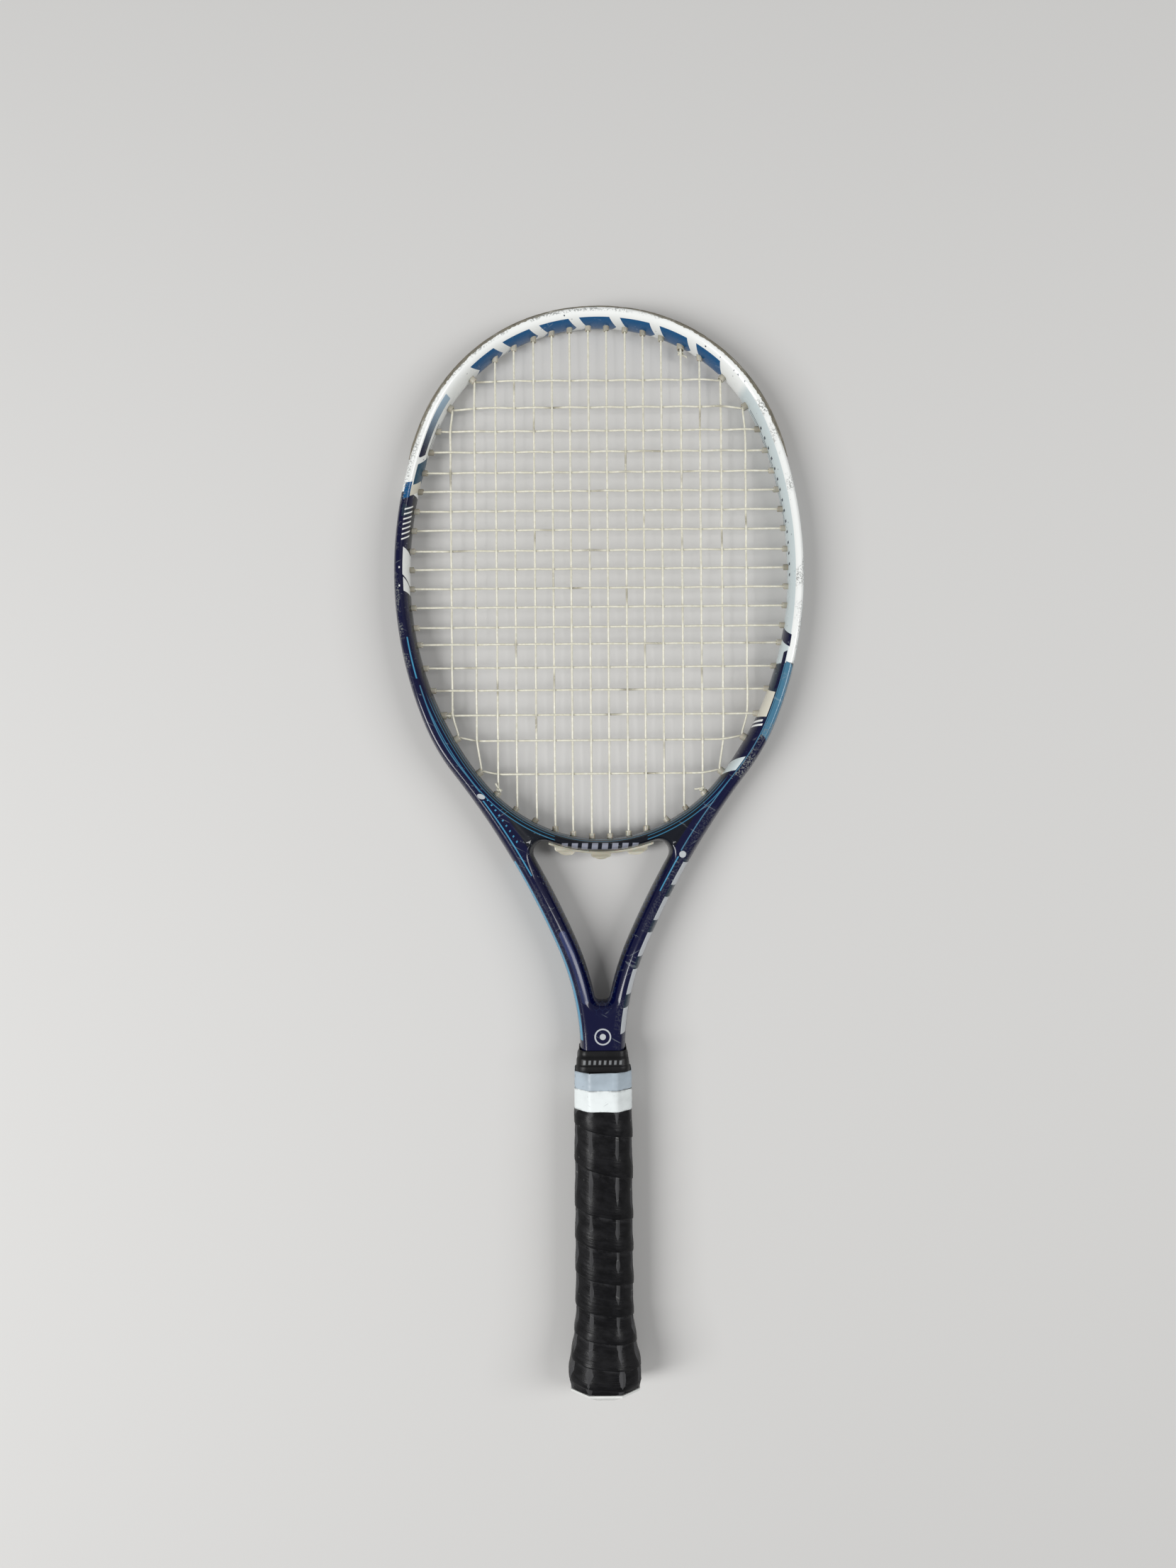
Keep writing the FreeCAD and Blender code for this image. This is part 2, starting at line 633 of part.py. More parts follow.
def half_of_mains(side):
    """The main string from its knot to the middle of the bridge."""
    letter = "R" if side > 0 else "L"
    tie = HOLES["F" + str(MAIN_KNOT) + letter]
    first = HOLES["F7" + letter]
    passed = HOLES["F6" + letter]
    points = [(knot_place(tie, LANE), STRING_BEND)] + through(tie, LANE, True)
    points += over_groove(tie.out, passed.out, LANE, LANE)
    points.append((at(passed.out, LANE), WEAVE_RADIUS))
    points += over_groove(passed.out, first.out, LANE, 0)
    for main in range(len(MAINS_X) - 1, -1, -1):
        upwards = main % 2 == 1
        ends = [HOLES["F" + str(main) + letter], HOLES["T" + str(main) + letter]]
        crossings = main_crossings(main)
        if upwards:
            crossings = crossings[::-1]
        else:
            ends = ends[::-1]
        points += through(ends[0], 0, False)
        points += [(weave(main, side, j), WEAVE_RADIUS) for j in crossings]
        points += through(ends[1], 0, True)
        if main > 0:
            follow = HOLES[("T" if upwards else "F") + str(main - 1) + letter]
            points += over_groove(ends[1].out, follow.out, 0, 0)
    return points


def make_main_string():
    right, left = half_of_mains(1), half_of_mains(-1)
    return string_along(right + left[::-1], [right[0][0], left[0][0]])


def make_cross_string():
    start = HOLES["T" + str(CROSS_KNOT) + "R"]
    passed = HOLES["T" + str(CROSS_KNOT + 1) + "R"]
    points = [(knot_place(start, -LANE), STRING_BEND)] + through(start, -LANE, True)
    points.append((at(passed.out, -LANE), WEAVE_RADIUS))
    points += over_groove(passed.out, HOLES["C0R"].out, -LANE, -LANE)
    lanes = {cross: -LANE for _, cross in SHARED_HOLES}
    for cross in range(len(CROSSES_Y)):
        z = lanes.get(cross, 0)
        begin, finish = ("R", "L") if cross % 2 == 0 else ("L", "R")
        side = 1 if begin == "R" else -1
        met = [m for m in range(len(MAINS_X)) if cross in main_crossings(m)]
        near = [(weave(m, side, cross), WEAVE_RADIUS) for m in reversed(met)]
        far = [(weave(m, -side, cross), WEAVE_RADIUS) for m in met]
        points += through(HOLES["C" + str(cross) + begin], z, False)
        points += [(Vector(p.x, p.y, -p.z), r) for p, r in near + far]
        points += through(HOLES["C" + str(cross) + finish], z, True)
        if cross + 1 < len(CROSSES_Y):
            ends = (HOLES["C" + str(cross) + finish], HOLES["C" + str(cross + 1) + finish])
            points += over_groove(ends[0].out, ends[1].out, z, lanes.get(cross + 1, 0))
    last, passed = HOLES["C18L"], HOLES["C17L"]
    tie = HOLES["C" + str(LAST_CROSS_KNOT) + "L"]
    points += over_groove(last.out, passed.out, -LANE, -2 * LANE)
    points.append((at(passed.out, -2 * LANE), WEAVE_RADIUS))
    points += over_groove(passed.out, tie.out, -2 * LANE, -LANE)
    points += through(tie, -LANE, False)
    points.append((knot_place(tie, -LANE), STRING_BEND))
    return string_along(points, [points[0][0], points[-1][0]])


# ---- handle -------------------------------------------------------------------------------
def octagon(y, half_width):
    """An eight-sided section of the handle at y."""
    w, h = half_width, half_width - LIFT
    corners = [(w, h * (1 - BEVEL_Z)), (w * (1 - BEVEL_X), h)]
    corners += [(-x, z) for x, z in reversed(corners)]
    corners += [(-x, -z) for x, z in corners]
    points = [Vector(x, y, z) for x, z in corners]
    return Part.makePolygon(points + points[:1])


def octagon_loft(stations):
    """The solid through octagons at (y, half-width) stations."""
    return Part.makeLoft([octagon(y, w) for y, w in stations], True, True)


def grown(stations, by):
    return [(y, w + by) for y, w in stations]


def sleeve_half_width(y):
    """Half the width of the butt cap's sleeve at y."""
    for (y0, w0), (y1, w1) in zip(CAP_SLEEVE, CAP_SLEEVE[1:]):
        if y0 <= y <= y1:
            return w0 + (w1 - w0) * (y - y0) / (y1 - y0)
    raise ValueError("the sleeve doesn't reach y")


def staple(x, y, top, side):
    """A staple with its bar across X at height top, its legs pointing at the handle."""
    length, width, thickness, depth = STAPLE
    low, high = sorted((top * side, (top - thickness) * side))
    bar = box((x - length / 2, x + length / 2), (y - width / 2, y + width / 2), (low, high))
    low, high = sorted((top * side, (top - depth) * side))
    legs = []
    for end in (x - length / 2, x + length / 2 - thickness):
        legs.append(box((end, end + thickness), (y - width / 2, y + width / 2), (low, high)))
    return bar.multiFuse(legs).removeSplitter()


def make_door():
    """The snap-in cover in the butt end: a plate with two legs and a notch to lift it by."""
    w, h = DOOR_HALF_WIDTH - DOOR_GAP, DOOR_HALF_HEIGHT - DOOR_GAP
    back = DOOR_RECESS + DOOR_THICKNESS
    door = box((-w, w), (DOOR_RECESS, back), (-h, h))
    corners = [e for e in door.Edges if e.BoundBox.YLength > 1]
    door = door.makeFillet(1.5, corners)
    for side in (1, -1):
        span = sorted((side * w, side * (w - DOOR_LEG_THICKNESS)))
        leg = box(span, (back - 0.5, back + DOOR_LEG_LENGTH), (-h / 2, h / 2))
        door = door.fuse(leg)
    notch = Part.makeCylinder(DOOR_NOTCH_RADIUS, 1, Vector(0, DOOR_RECESS, h), Vector(0, 1, 0))
    return door.cut(notch).removeSplitter()


def make_handle():
    pallet = octagon_loft([(y, PALLET_HALF_WIDTH) for y in PALLET_Y])
    pallet_core = octagon_loft([(y, PALLET_HALF_WIDTH) for y in (PALLET_Y[0], TAPE_TOP_Y)])
    sleeve = octagon_loft(CAP_SLEEVE)
    cap = sleeve.fuse(octagon_loft(CAP_LIP))
    seat = octagon_loft([(y, PALLET_HALF_WIDTH + CAP_FIT) for y in (PALLET_Y[0], 60)])
    cap = cap.cut(seat).cut(octagon_loft(CAP_POCKET))
    w, h = DOOR_HALF_WIDTH, DOOR_HALF_HEIGHT
    cap = cap.cut(box((-w, w), (-1, 4), (-h, h))).removeSplitter()

    sleeve_end = CAP_SLEEVE[-1][0]
    ramp_end = (sleeve_end + SLEEVE_END_RAMP, PALLET_HALF_WIDTH)
    core = list(CAP_SLEEVE) + [ramp_end, (TAPE_TOP_Y, PALLET_HALF_WIDTH)]
    base_skin = octagon_loft(grown(core, BASE_GRIP_THICKNESS))
    base_grip = base_skin.cut(sleeve).cut(pallet_core)

    over = [s for s in core if s[0] < OVERGRIP_TOP_Y] + [(OVERGRIP_TOP_Y, PALLET_HALF_WIDTH)]
    over_skin = octagon_loft(grown(over, BASE_GRIP_THICKNESS + OVERGRIP_THICKNESS))
    pressed_width = PALLET_HALF_WIDTH + BASE_GRIP_THICKNESS + TAPED_OVERGRIP_THICKNESS
    pressed = octagon_loft([(y, pressed_width) for y in (OVERGRIP_TOP_Y, OVERGRIP_END_Y)])
    overgrip = over_skin.fuse(pressed).cut(base_skin)

    low_width = pressed_width + TAPE_THICKNESS
    low_tape = octagon_loft([(y, low_width) for y in (OVERGRIP_TOP_Y, TAPE_SPLIT_Y)])
    low_tape = low_tape.cut(pressed).cut(base_skin)
    high_width = PALLET_HALF_WIDTH + BASE_GRIP_THICKNESS + TAPE_THICKNESS
    high_tape = octagon_loft([(y, high_width) for y in (TAPE_SPLIT_Y, TAPE_TOP_Y)])
    high_tape = high_tape.cut(base_skin)

    staples = []
    top = sleeve_half_width(CAP_STAPLES_Y + STAPLE[1] / 2) - LIFT
    for side in (1, -1):
        for x in (-CAP_STAPLES_X, CAP_STAPLES_X):
            staples.append(staple(x, CAP_STAPLES_Y, top, side))
    cap_staples = Part.makeCompound(staples)
    top = sleeve_half_width(GRIP_STAPLE_Y + STAPLE[1] / 2) + BASE_GRIP_THICKNESS - LIFT
    grip_staple = staple(0, GRIP_STAPLE_Y, top, 1)

    pallet = pallet.cut(tang(0, TANG_FOOT_Y, 230)).cut(cap_staples)
    front = pallet.common(box((-50, 50), (0, 230), (0, 50)))
    back = pallet.common(box((-50, 50), (0, 230), (-50, 0)))
    return {
        "pallet_front": front,
        "pallet_back": back,
        "butt_cap": cap.cut(cap_staples).cut(grip_staple),
        "butt_cap_staples": cap_staples,
        "trap_door": make_door(),
        "base_grip": base_grip.cut(grip_staple).cut(cap_staples),
        "grip_staple": grip_staple,
        "overgrip": overgrip,
        "overgrip_finishing_tape": low_tape,
        "base_grip_finishing_tape": high_tape,
    }


def rounded_block(half_width, half_height, radius, y):
    """A wire: a rectangle with round corners, across the handle at y."""
    w, h, r = half_width, half_height, radius
    edges = []
    for k in range(4):
        quarter = 90 * k
        sx, sz = (1, -1, -1, 1)[k], (1, 1, -1, -1)[k]
        centre = Vector((w - r) * sx, y, (h - r) * sz)
        turn = [unit(quarter + a) * r for a in (0, 45, 90)]
        ends = [centre + Vector(t.x, 0, t.y) for t in turn]
        edges.append(Part.Arc(*ends).toShape())
        nx, nz = (-1, -1, 1, 1)[k], (1, -1, -1, 1)[k]
        follow = Vector((w - r) * nx, y, (h - r) * nz)
        next_turn = unit(quarter + 90) * r
        edges.append(Part.LineSegment(ends[2], follow + Vector(next_turn.x, 0, next_turn.y)).toShape())
    return Part.Wire(edges)


def make_collar():
    """The rubber collar: a rim over the tape's end, drawn in to a thin sleeve on the neck."""
    low, high = COLLAR_Y
    rim = low + COLLAR_RIM_HEIGHT
    gap = COLLAR_GAP
    bore = (NECK_HALF_WIDTH + gap, BEAM_HALF_HEIGHT + gap, EDGE_RADIUS + gap)
    top = [size + COLLAR_TOP_WALL for size in bore]
    wide = (COLLAR_RIM[0], COLLAR_RIM[1], EDGE_RADIUS + 2)
    sections = [
        rounded_block(*wide, low), rounded_block(*wide, rim),
        rounded_block(*top, rim + 2.5), rounded_block(*top, high),
    ]
    outside = Part.makeLoft(sections, True, True)
    hole = Part.makeLoft([rounded_block(*bore, low - 1), rounded_block(*bore, high + 1)], True, True)
    return outside.cut(hole)


def make_label():
    """The blank name label stuck on the inner side of the left shaft."""
    band = outline_face(-LABEL_INSET[0]).cut(outline_face(-LABEL_INSET[1]))
    band = band.translated(Vector(0, 0, BEAM_HALF_HEIGHT)).extrude(Vector(0, 0, LABEL_THICKNESS))
    return band.common(box((-200, 0), LABEL_Y, (0, 50)))


write("frame", make_frame())
for name, shape in make_strips().items():
    write(name, shape)
write("main_string", make_main_string())
write("cross_string", make_cross_string())
for name, shape in make_handle().items():
    write(name, shape)
write("grip_collar", make_collar())
write("name_label", make_label())
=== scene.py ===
"""The looks of a strung tennis racket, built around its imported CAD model.

The shapes are worked out in millimetres in the racket's own frame: the origin is the middle
of the butt end, +Y runs to the tip, +X is across the head, and the strings lie in Z = 0."""

import math

import bmesh
import bpy
import numpy as np
from bpy.props import FloatProperty, FloatVectorProperty, PointerProperty
from mathutils import Matrix, Vector


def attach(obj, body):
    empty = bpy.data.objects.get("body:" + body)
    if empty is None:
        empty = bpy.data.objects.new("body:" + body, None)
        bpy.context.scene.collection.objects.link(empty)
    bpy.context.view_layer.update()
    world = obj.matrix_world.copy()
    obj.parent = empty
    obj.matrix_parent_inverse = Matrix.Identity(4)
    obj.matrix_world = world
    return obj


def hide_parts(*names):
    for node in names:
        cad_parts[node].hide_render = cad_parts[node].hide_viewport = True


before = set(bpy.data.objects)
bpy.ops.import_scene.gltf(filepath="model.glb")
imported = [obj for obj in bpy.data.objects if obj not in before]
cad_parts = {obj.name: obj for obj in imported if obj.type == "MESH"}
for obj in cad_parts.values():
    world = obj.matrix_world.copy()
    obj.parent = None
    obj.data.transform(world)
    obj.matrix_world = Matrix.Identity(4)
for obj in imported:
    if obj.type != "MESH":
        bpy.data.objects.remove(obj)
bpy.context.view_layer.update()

bl_info = {
    "name": "Strung Racket",
    "version": (1, 0, 0),
    "blender": (4, 5, 0),
    "location": "3D View > Sidebar > Racket",
    "description": "Builds the painted frame, strings and wrapped handle of a racket",
    "category": "Add Mesh",
}

MM = 0.001
RACKET = "racket"

# ---- the plan of the frame, in mm, as the CAD model has it ---------------------------------
TIP_Y = 684.5
WIDEST = (129.0, 518.0)
HOOP_WIDTH = 9.4
HOOP_FOOT_Y = 351.0
BEAM = 12.5
CROWN_TURNS = (9.3, 59.5, 21.2)
CROWN_RADII = (138.7, 115.9, 255.0)
SIDE_TURNS = (-22.33, -15.19, 13.95, 23.57)
SIDE_RADII = (250.3, 133.8, 522.8)
FOOT_TURNS = (18.8, 32.9, 38.3)
FOOT_RADII = (86.2, 101.5, 208.5)
NECK_HALF_WIDTH = 14.1
NECK_FOOT_Y = 206.0
SHAFT_WIDTH = 12.8
BRIDGE_WIDTH = 8.0
THROAT_CORNER = 7.0
THROAT_FOOT = 3.4
THROAT_FOOT_Y = 249.0
STRAIGHT = 1e5
# the section: ridges stand at these distances from the edges of the plan
ROUNDNESS = 2.2
OUTER_RIDGE = (3.4, 5.0)
HOOP_RIDGE = (6.0, 4.2)
THROAT_RIDGE = (4.0, 7.8)
CHANNEL_DEPTH = 3.0
CHANNEL_HALF_HEIGHT = 5.2
STRIP_FOOT_Y = 337.5
BUMPER_FOOT_Y = 590.3
VALLEY = ((47.0, 349.0), (67.0, 371.0))
VALLEY_DEPTH = 1.3
VALLEY_WIDTH = 2.3


def smooth(x, low, high):
    """The smooth step from 0 at low to 1 at high."""
    t = np.clip((np.asarray(x, float) - low) / (high - low), 0, 1)
    return t * t * (3 - 2 * t)


def mix(a, b, share):
    return a + (b - a) * share


def left_of(heading):
    """The unit vector square to a heading, on its left."""
    return np.stack([-np.sin(heading), np.cos(heading)], -1)


class Chain:
    """Tangent arcs, one after another: radii, and signed turns in degrees, positive to the
    left. A straight is an arc of very large radius."""

    def __init__(self, start, heading, radii, turns):
        self.radius = np.array(radii, float)
        self.turn = np.radians(turns)
        self.side = np.sign(self.turn)
        ends = np.radians(heading) + np.cumsum(self.turn)
        self.heading = ends - self.turn
        self.length = self.radius * np.abs(self.turn)
        self.first = np.cumsum(self.length) - self.length
        self.total = float(self.length.sum())
        centres = []
        place = np.array(start, float)
        for k in range(len(self.radius)):
            reach = self.side[k] * self.radius[k]
            centres.append(place + left_of(self.heading[k]) * reach)
            place = centres[-1] - left_of(ends[k]) * reach
        self.centre = np.array(centres)
        self.end = place

    def direction(self, s):
        s = np.clip(np.asarray(s, float), 0, self.total)
        k = np.clip(np.searchsorted(self.first, s, side="right") - 1, 0, len(self.radius) - 1)
        return k, self.heading[k] + self.side[k] * (s - self.first[k]) / self.radius[k]

    def place(self, s, left=0.0):
        """The points at arc lengths s, moved to the left of travel by left."""
        k, heading = self.direction(s)
        reach = self.side[k] * self.radius[k] - left
        return self.centre[k] - left_of(heading) * np.asarray(reach)[..., None]

    def nearest(self, points):
        """The distance from each point to the chain, and the arc length where that is."""
        best = np.full(points.shape[:-1], np.inf)
        where = np.zeros(points.shape[:-1])
        for k in range(len(self.radius)):
            out = points - self.centre[k]
            begin = self.heading[k] - self.side[k] * np.pi / 2
            swept = (np.arctan2(out[..., 1], out[..., 0]) - begin) * self.side[k]
            swept = np.mod(swept, 2 * np.pi)
            whole = abs(self.turn[k])
            past_end = swept - whole < 2 * np.pi - swept
            swept = np.where(swept <= whole, swept, np.where(past_end, whole, 0.0))
            angle = begin + self.side[k] * swept
            rim = np.stack([np.cos(angle), np.sin(angle)], -1) * self.radius[k]
            gap = np.hypot(*np.moveaxis(out - rim, -1, 0))
            nearer = gap < best
            best = np.where(nearer, gap, best)
            where = np.where(nearer, self.first[k] + swept * self.radius[k], where)
        return best, where

    def hit(self, origin, direction, left=0.0):
        """The nearest point where a ray from origin meets the chain moved by left."""
        best = np.inf
        for k in range(len(self.radius)):
            reach = self.radius[k] - self.side[k] * left
            out = origin - self.centre[k]
            along = out @ direction
            inside = along * along - out @ out + reach * reach
            if inside < 0:
                continue
            for t in (-along - math.sqrt(inside), -along + math.sqrt(inside)):
                radial = out + direction * t
                swept = math.atan2(radial[1], radial[0]) - self.heading[k]
                swept = (swept * self.side[k] + math.pi / 2) % (2 * math.pi)
                close = swept <= abs(self.turn[k]) + 1e-4 or swept > 2 * math.pi - 1e-4
                if t > 0 and close:
                    best = min(best, t)
        return origin + direction * best


def straight(length):
    """The radius and turn of a run that is straight to within a hair."""
    return STRAIGHT, math.degrees(length / STRAIGHT)


def closing_radius(chain, turn, goal_x):
    """The radius of one more arc that brings a chain to x = goal_x."""
    heading = chain.heading[-1] + chain.turn[-1]
    turn = math.radians(turn)
    side = math.copysign(1, turn)
    step = (left_of(heading) - left_of(heading + turn)) * side
    return float((goal_x - chain.end[0]) / step[0])


def circles_meet(c1, r1, c2, r2, near):
    """Where two circles cross, the crossing nearer to a point."""
    span = c2 - c1
    d = np.hypot(*span)
    a = (r1 * r1 - r2 * r2 + d * d) / (2 * d)
    h = math.sqrt(r1 * r1 - a * a)
    base = c1 + span * a / d
    square = np.array([-span[1], span[0]]) / d
    return min((base + square * h, base - square * h), key=lambda p: np.hypot(*(p - near)))


def make_outer():
    """The outline's right half, from the tip down to the neck's foot."""
    turns = [-t for t in CROWN_TURNS] + list(SIDE_TURNS)
    radii = list(CROWN_RADII) + list(SIDE_RADII)
    start = Chain((0, TIP_Y), 0, radii, turns[:-1])
    radii.append(closing_radius(start, turns[-1], NECK_HALF_WIDTH))
    neck = Chain((0, TIP_Y), 0, radii, turns)
    radius, turn = straight(neck.end[1] - NECK_FOOT_Y)
    return Chain((0, TIP_Y), 0, radii + [radius], turns + [turn])


def make_hoop():
    """The right half of the opening that holds the strings, from its foot up to the crown."""
    radii = list(FOOT_RADII) + [r - HOOP_WIDTH for r in reversed(CROWN_RADII)]
    return Chain((0, HOOP_FOOT_Y), 0, radii, list(FOOT_TURNS) + list(reversed(CROWN_TURNS)))


def make_throat(outer, hoop):
    """The right half of the throat's opening: under the bridge, round the corner, down the
    shaft and round the foot to X = 0. Each corner's centre is a crossing of two circles."""
    corner = np.array([40.0, 338.0])
    for _ in range(4):
        foot_arc = hoop.direction(hoop.nearest(corner[None])[1][0])[0]
        side_arc = outer.direction(outer.nearest(corner[None])[1][0])[0]
        low = hoop.radius[foot_arc] + BRIDGE_WIDTH + THROAT_CORNER
        inset = SHAFT_WIDTH + THROAT_CORNER
        side = outer.radius[side_arc] + outer.side[side_arc] * inset
        corner = circles_meet(hoop.centre[foot_arc], low, outer.centre[side_arc], side, corner)
    s_hoop = hoop.nearest(corner[None])[1][0]
    s_side = outer.nearest(corner[None])[1][0]
    foot_arc, foot_heading = hoop.direction(s_hoop)
    side_arc, side_heading = outer.direction(s_side)
    radii = [hoop.radius[k] + BRIDGE_WIDTH for k in range(foot_arc + 1)]
    turns = [math.degrees(t) for t in hoop.turn[:foot_arc]]
    turns.append(math.degrees(foot_heading - hoop.heading[foot_arc]))
    radii.append(THROAT_CORNER)
    turns.append(math.degrees(side_heading - foot_heading))
    last = len(outer.radius) - 2
    reach = outer.radius[last] + outer.side[last] * (SHAFT_WIDTH + THROAT_FOOT)
    drop = THROAT_FOOT_Y + THROAT_FOOT - outer.centre[last][1]
    foot = outer.centre[last] + np.array([-math.sqrt(reach ** 2 - drop ** 2), drop])
    end_heading = outer.direction(outer.nearest(foot[None])[1][0])[1]
    for k in range(side_arc, last + 1):
        radii.append(outer.radius[k] + outer.side[k] * SHAFT_WIDTH)
        begin = side_heading if k == side_arc else outer.heading[k]
        finish = end_heading if k == last else outer.heading[k] + outer.turn[k]
        turns.append(math.degrees(finish - begin))
    radii.append(THROAT_FOOT)
    turns.append(-180 - math.degrees(end_heading))
    radius, turn = straight(foot[0])
    return Chain((0, HOOP_FOOT_Y - BRIDGE_WIDTH), 0, radii + [radius], turns + [turn])


OUTER = make_outer()
HOOP = make_hoop()
THROAT = make_throat(OUTER, HOOP)
CROWN_LENGTH = float(OUTER.length[:3].sum())
FOOT_LENGTH = float(HOOP.length[:3].sum())


def rise(share):
    """A quarter of a superellipse: from 0 at an edge to 1 at the ridge."""
    return (1 - (1 - np.clip(share, 0, 1)) ** ROUNDNESS) ** (1 / ROUNDNESS)


def ridge_inset(y):
    """How far the outer ridge stands in from the outline: less round the hoop."""
    return mix(OUTER_RIDGE[1], OUTER_RIDGE[0], smooth(y, 340, 430))


def frame_height(points):
    """Half the beam's height over points of the plan: it rises as a superellipse from each
    edge to that edge's ridge, and sinks in a valley where shaft and bridge part."""
    y = points[..., 1]
    to_outer = OUTER.nearest(points)[0] / ridge_inset(y)
    to_hoop = HOOP.nearest(points)[0] / mix(HOOP_RIDGE[1], HOOP_RIDGE[0], smooth(y, 365, 430))
    throat_ridge = mix(THROAT_RIDGE[1], THROAT_RIDGE[0], smooth(y, 325, 345))
    to_throat = THROAT.nearest(points)[0] / throat_ridge
    height = BEAM * rise(to_outer) * rise(np.minimum(to_hoop, to_throat))
    start, end = np.array(VALLEY)
    along = (points - start) @ (end - start) / ((end - start) @ (end - start))
    off = points - start - np.clip(along, 0, 1)[..., None] * (end - start)
    line = np.exp(-(off ** 2).sum(-1) / VALLEY_WIDTH ** 2)
    return height - VALLEY_DEPTH * line * (1 - smooth(along, 0.4, 1.0)) * (height / BEAM)


def edge_length(distance, ridge):
    """The length of the surface's curve from an edge of the plan inwards, by distance."""
    angle = np.linspace(0, np.pi / 2, 400)
    x = ridge * (1 - np.cos(angle) ** (2 / ROUNDNESS))
    z = BEAM * np.sin(angle) ** (2 / ROUNDNESS)
    run = np.concatenate([[0], np.cumsum(np.hypot(np.diff(x), np.diff(z)))])
    return np.interp(distance, x, run) + np.maximum(distance - ridge, 0)


# ---- meshes ---------------------------------------------------------------------------------
def grid_faces(rows, cols, first=0, round_rows=False, round_cols=False):
    """The quads of a grid of points numbered row by row."""
    r = np.arange(rows if round_rows else rows - 1)
    c = np.arange(cols if round_cols else cols - 1)
    r, c = np.meshgrid(r, c, indexing="ij")
    r2, c2 = (r + 1) % rows, (c + 1) % cols
    quads = np.stack([r * cols + c, r * cols + c2, r2 * cols + c2, r2 * cols + c], -1)
    return (quads.reshape(-1, 4) + first).tolist()


class Shape:
    """Grids of points and their faces, gathered into one mesh."""

    def __init__(self):
        self.points = []
        self.faces = []
        self.count = 0
        self.traces = []

    def grid(self, points, trace=None, round_rows=False, round_cols=False, caps=False):
        """Adds a grid of points, shaped rows by columns by 3."""
        rows, cols = points.shape[:2]
        self.faces += grid_faces(rows, cols, self.count, round_rows, round_cols)
        if caps:
            self.faces.append(list(range(self.count, self.count + cols)))
            last = self.count + (rows - 1) * cols
            self.faces.append(list(range(last, last + cols))[::-1])
        self.points.append(points.reshape(-1, 3))
        if trace is None:
            trace = np.zeros(points.shape)
        self.traces.append(trace.reshape(-1, 3))
        self.count += rows * cols

    def piece(self, name, merge=0.0, sharp=35.0, material=None, fill=False):
        """The mesh object: doubles merged, faces turned outwards, smooth but for its edges."""
        mesh = bpy.data.meshes.new(name)
        points = np.concatenate(self.points) * MM
        if not np.isfinite(points).all():
            raise ValueError(name + " has points that aren't numbers")
        mesh.from_pydata(points.tolist(), [], self.faces)
        trace = mesh.attributes.new("trace", "FLOAT_VECTOR", "POINT")
        trace.data.foreach_set("vector", np.concatenate(self.traces).astype(np.float32).ravel())
        work = bmesh.new()
        work.from_mesh(mesh)
        if merge:
            bmesh.ops.remove_doubles(work, verts=work.verts, dist=merge * MM)
            bmesh.ops.dissolve_degenerate(work, edges=work.edges, dist=1e-7)
        if fill:
            bmesh.ops.holes_fill(work, edges=work.edges, sides=0)
        bmesh.ops.recalc_face_normals(work, faces=work.faces)
        work.to_mesh(mesh)
        work.free()
        mesh.shade_smooth()
        mesh.set_sharp_from_angle(angle=math.radians(sharp))
        piece = bpy.data.objects.new(name, mesh)
        bpy.context.scene.collection.objects.link(piece)
        if material:
            mesh.materials.append(material)
        return piece


def mirrored(points, x=1, z=1):
    return points * np.array([x, 1, z])


def finish_piece(piece, body, slot, *nodes):
    """Hands a finished piece to its CAD body and hides the CAD nodes it stands for. The slot is not
    used.
    """
    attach(piece, body)
    if nodes:
        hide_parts(*nodes)
    return piece


# ---- the frame's surface --------------------------------------------------------------------
def even(start, end, step):
    """Evenly spaced values, both ends included."""
    return np.linspace(start, end, max(2, int(abs(end - start) / step) + 1))


def bridge_shares(count):
    """Where the bridge's columns lie, from the hoop's edge to the throat's, closer at both."""
    angle = np.linspace(0, np.pi, count)
    return (1 - np.sign(np.cos(angle)) * np.abs(np.cos(angle)) ** (2 / ROUNDNESS)) / 2


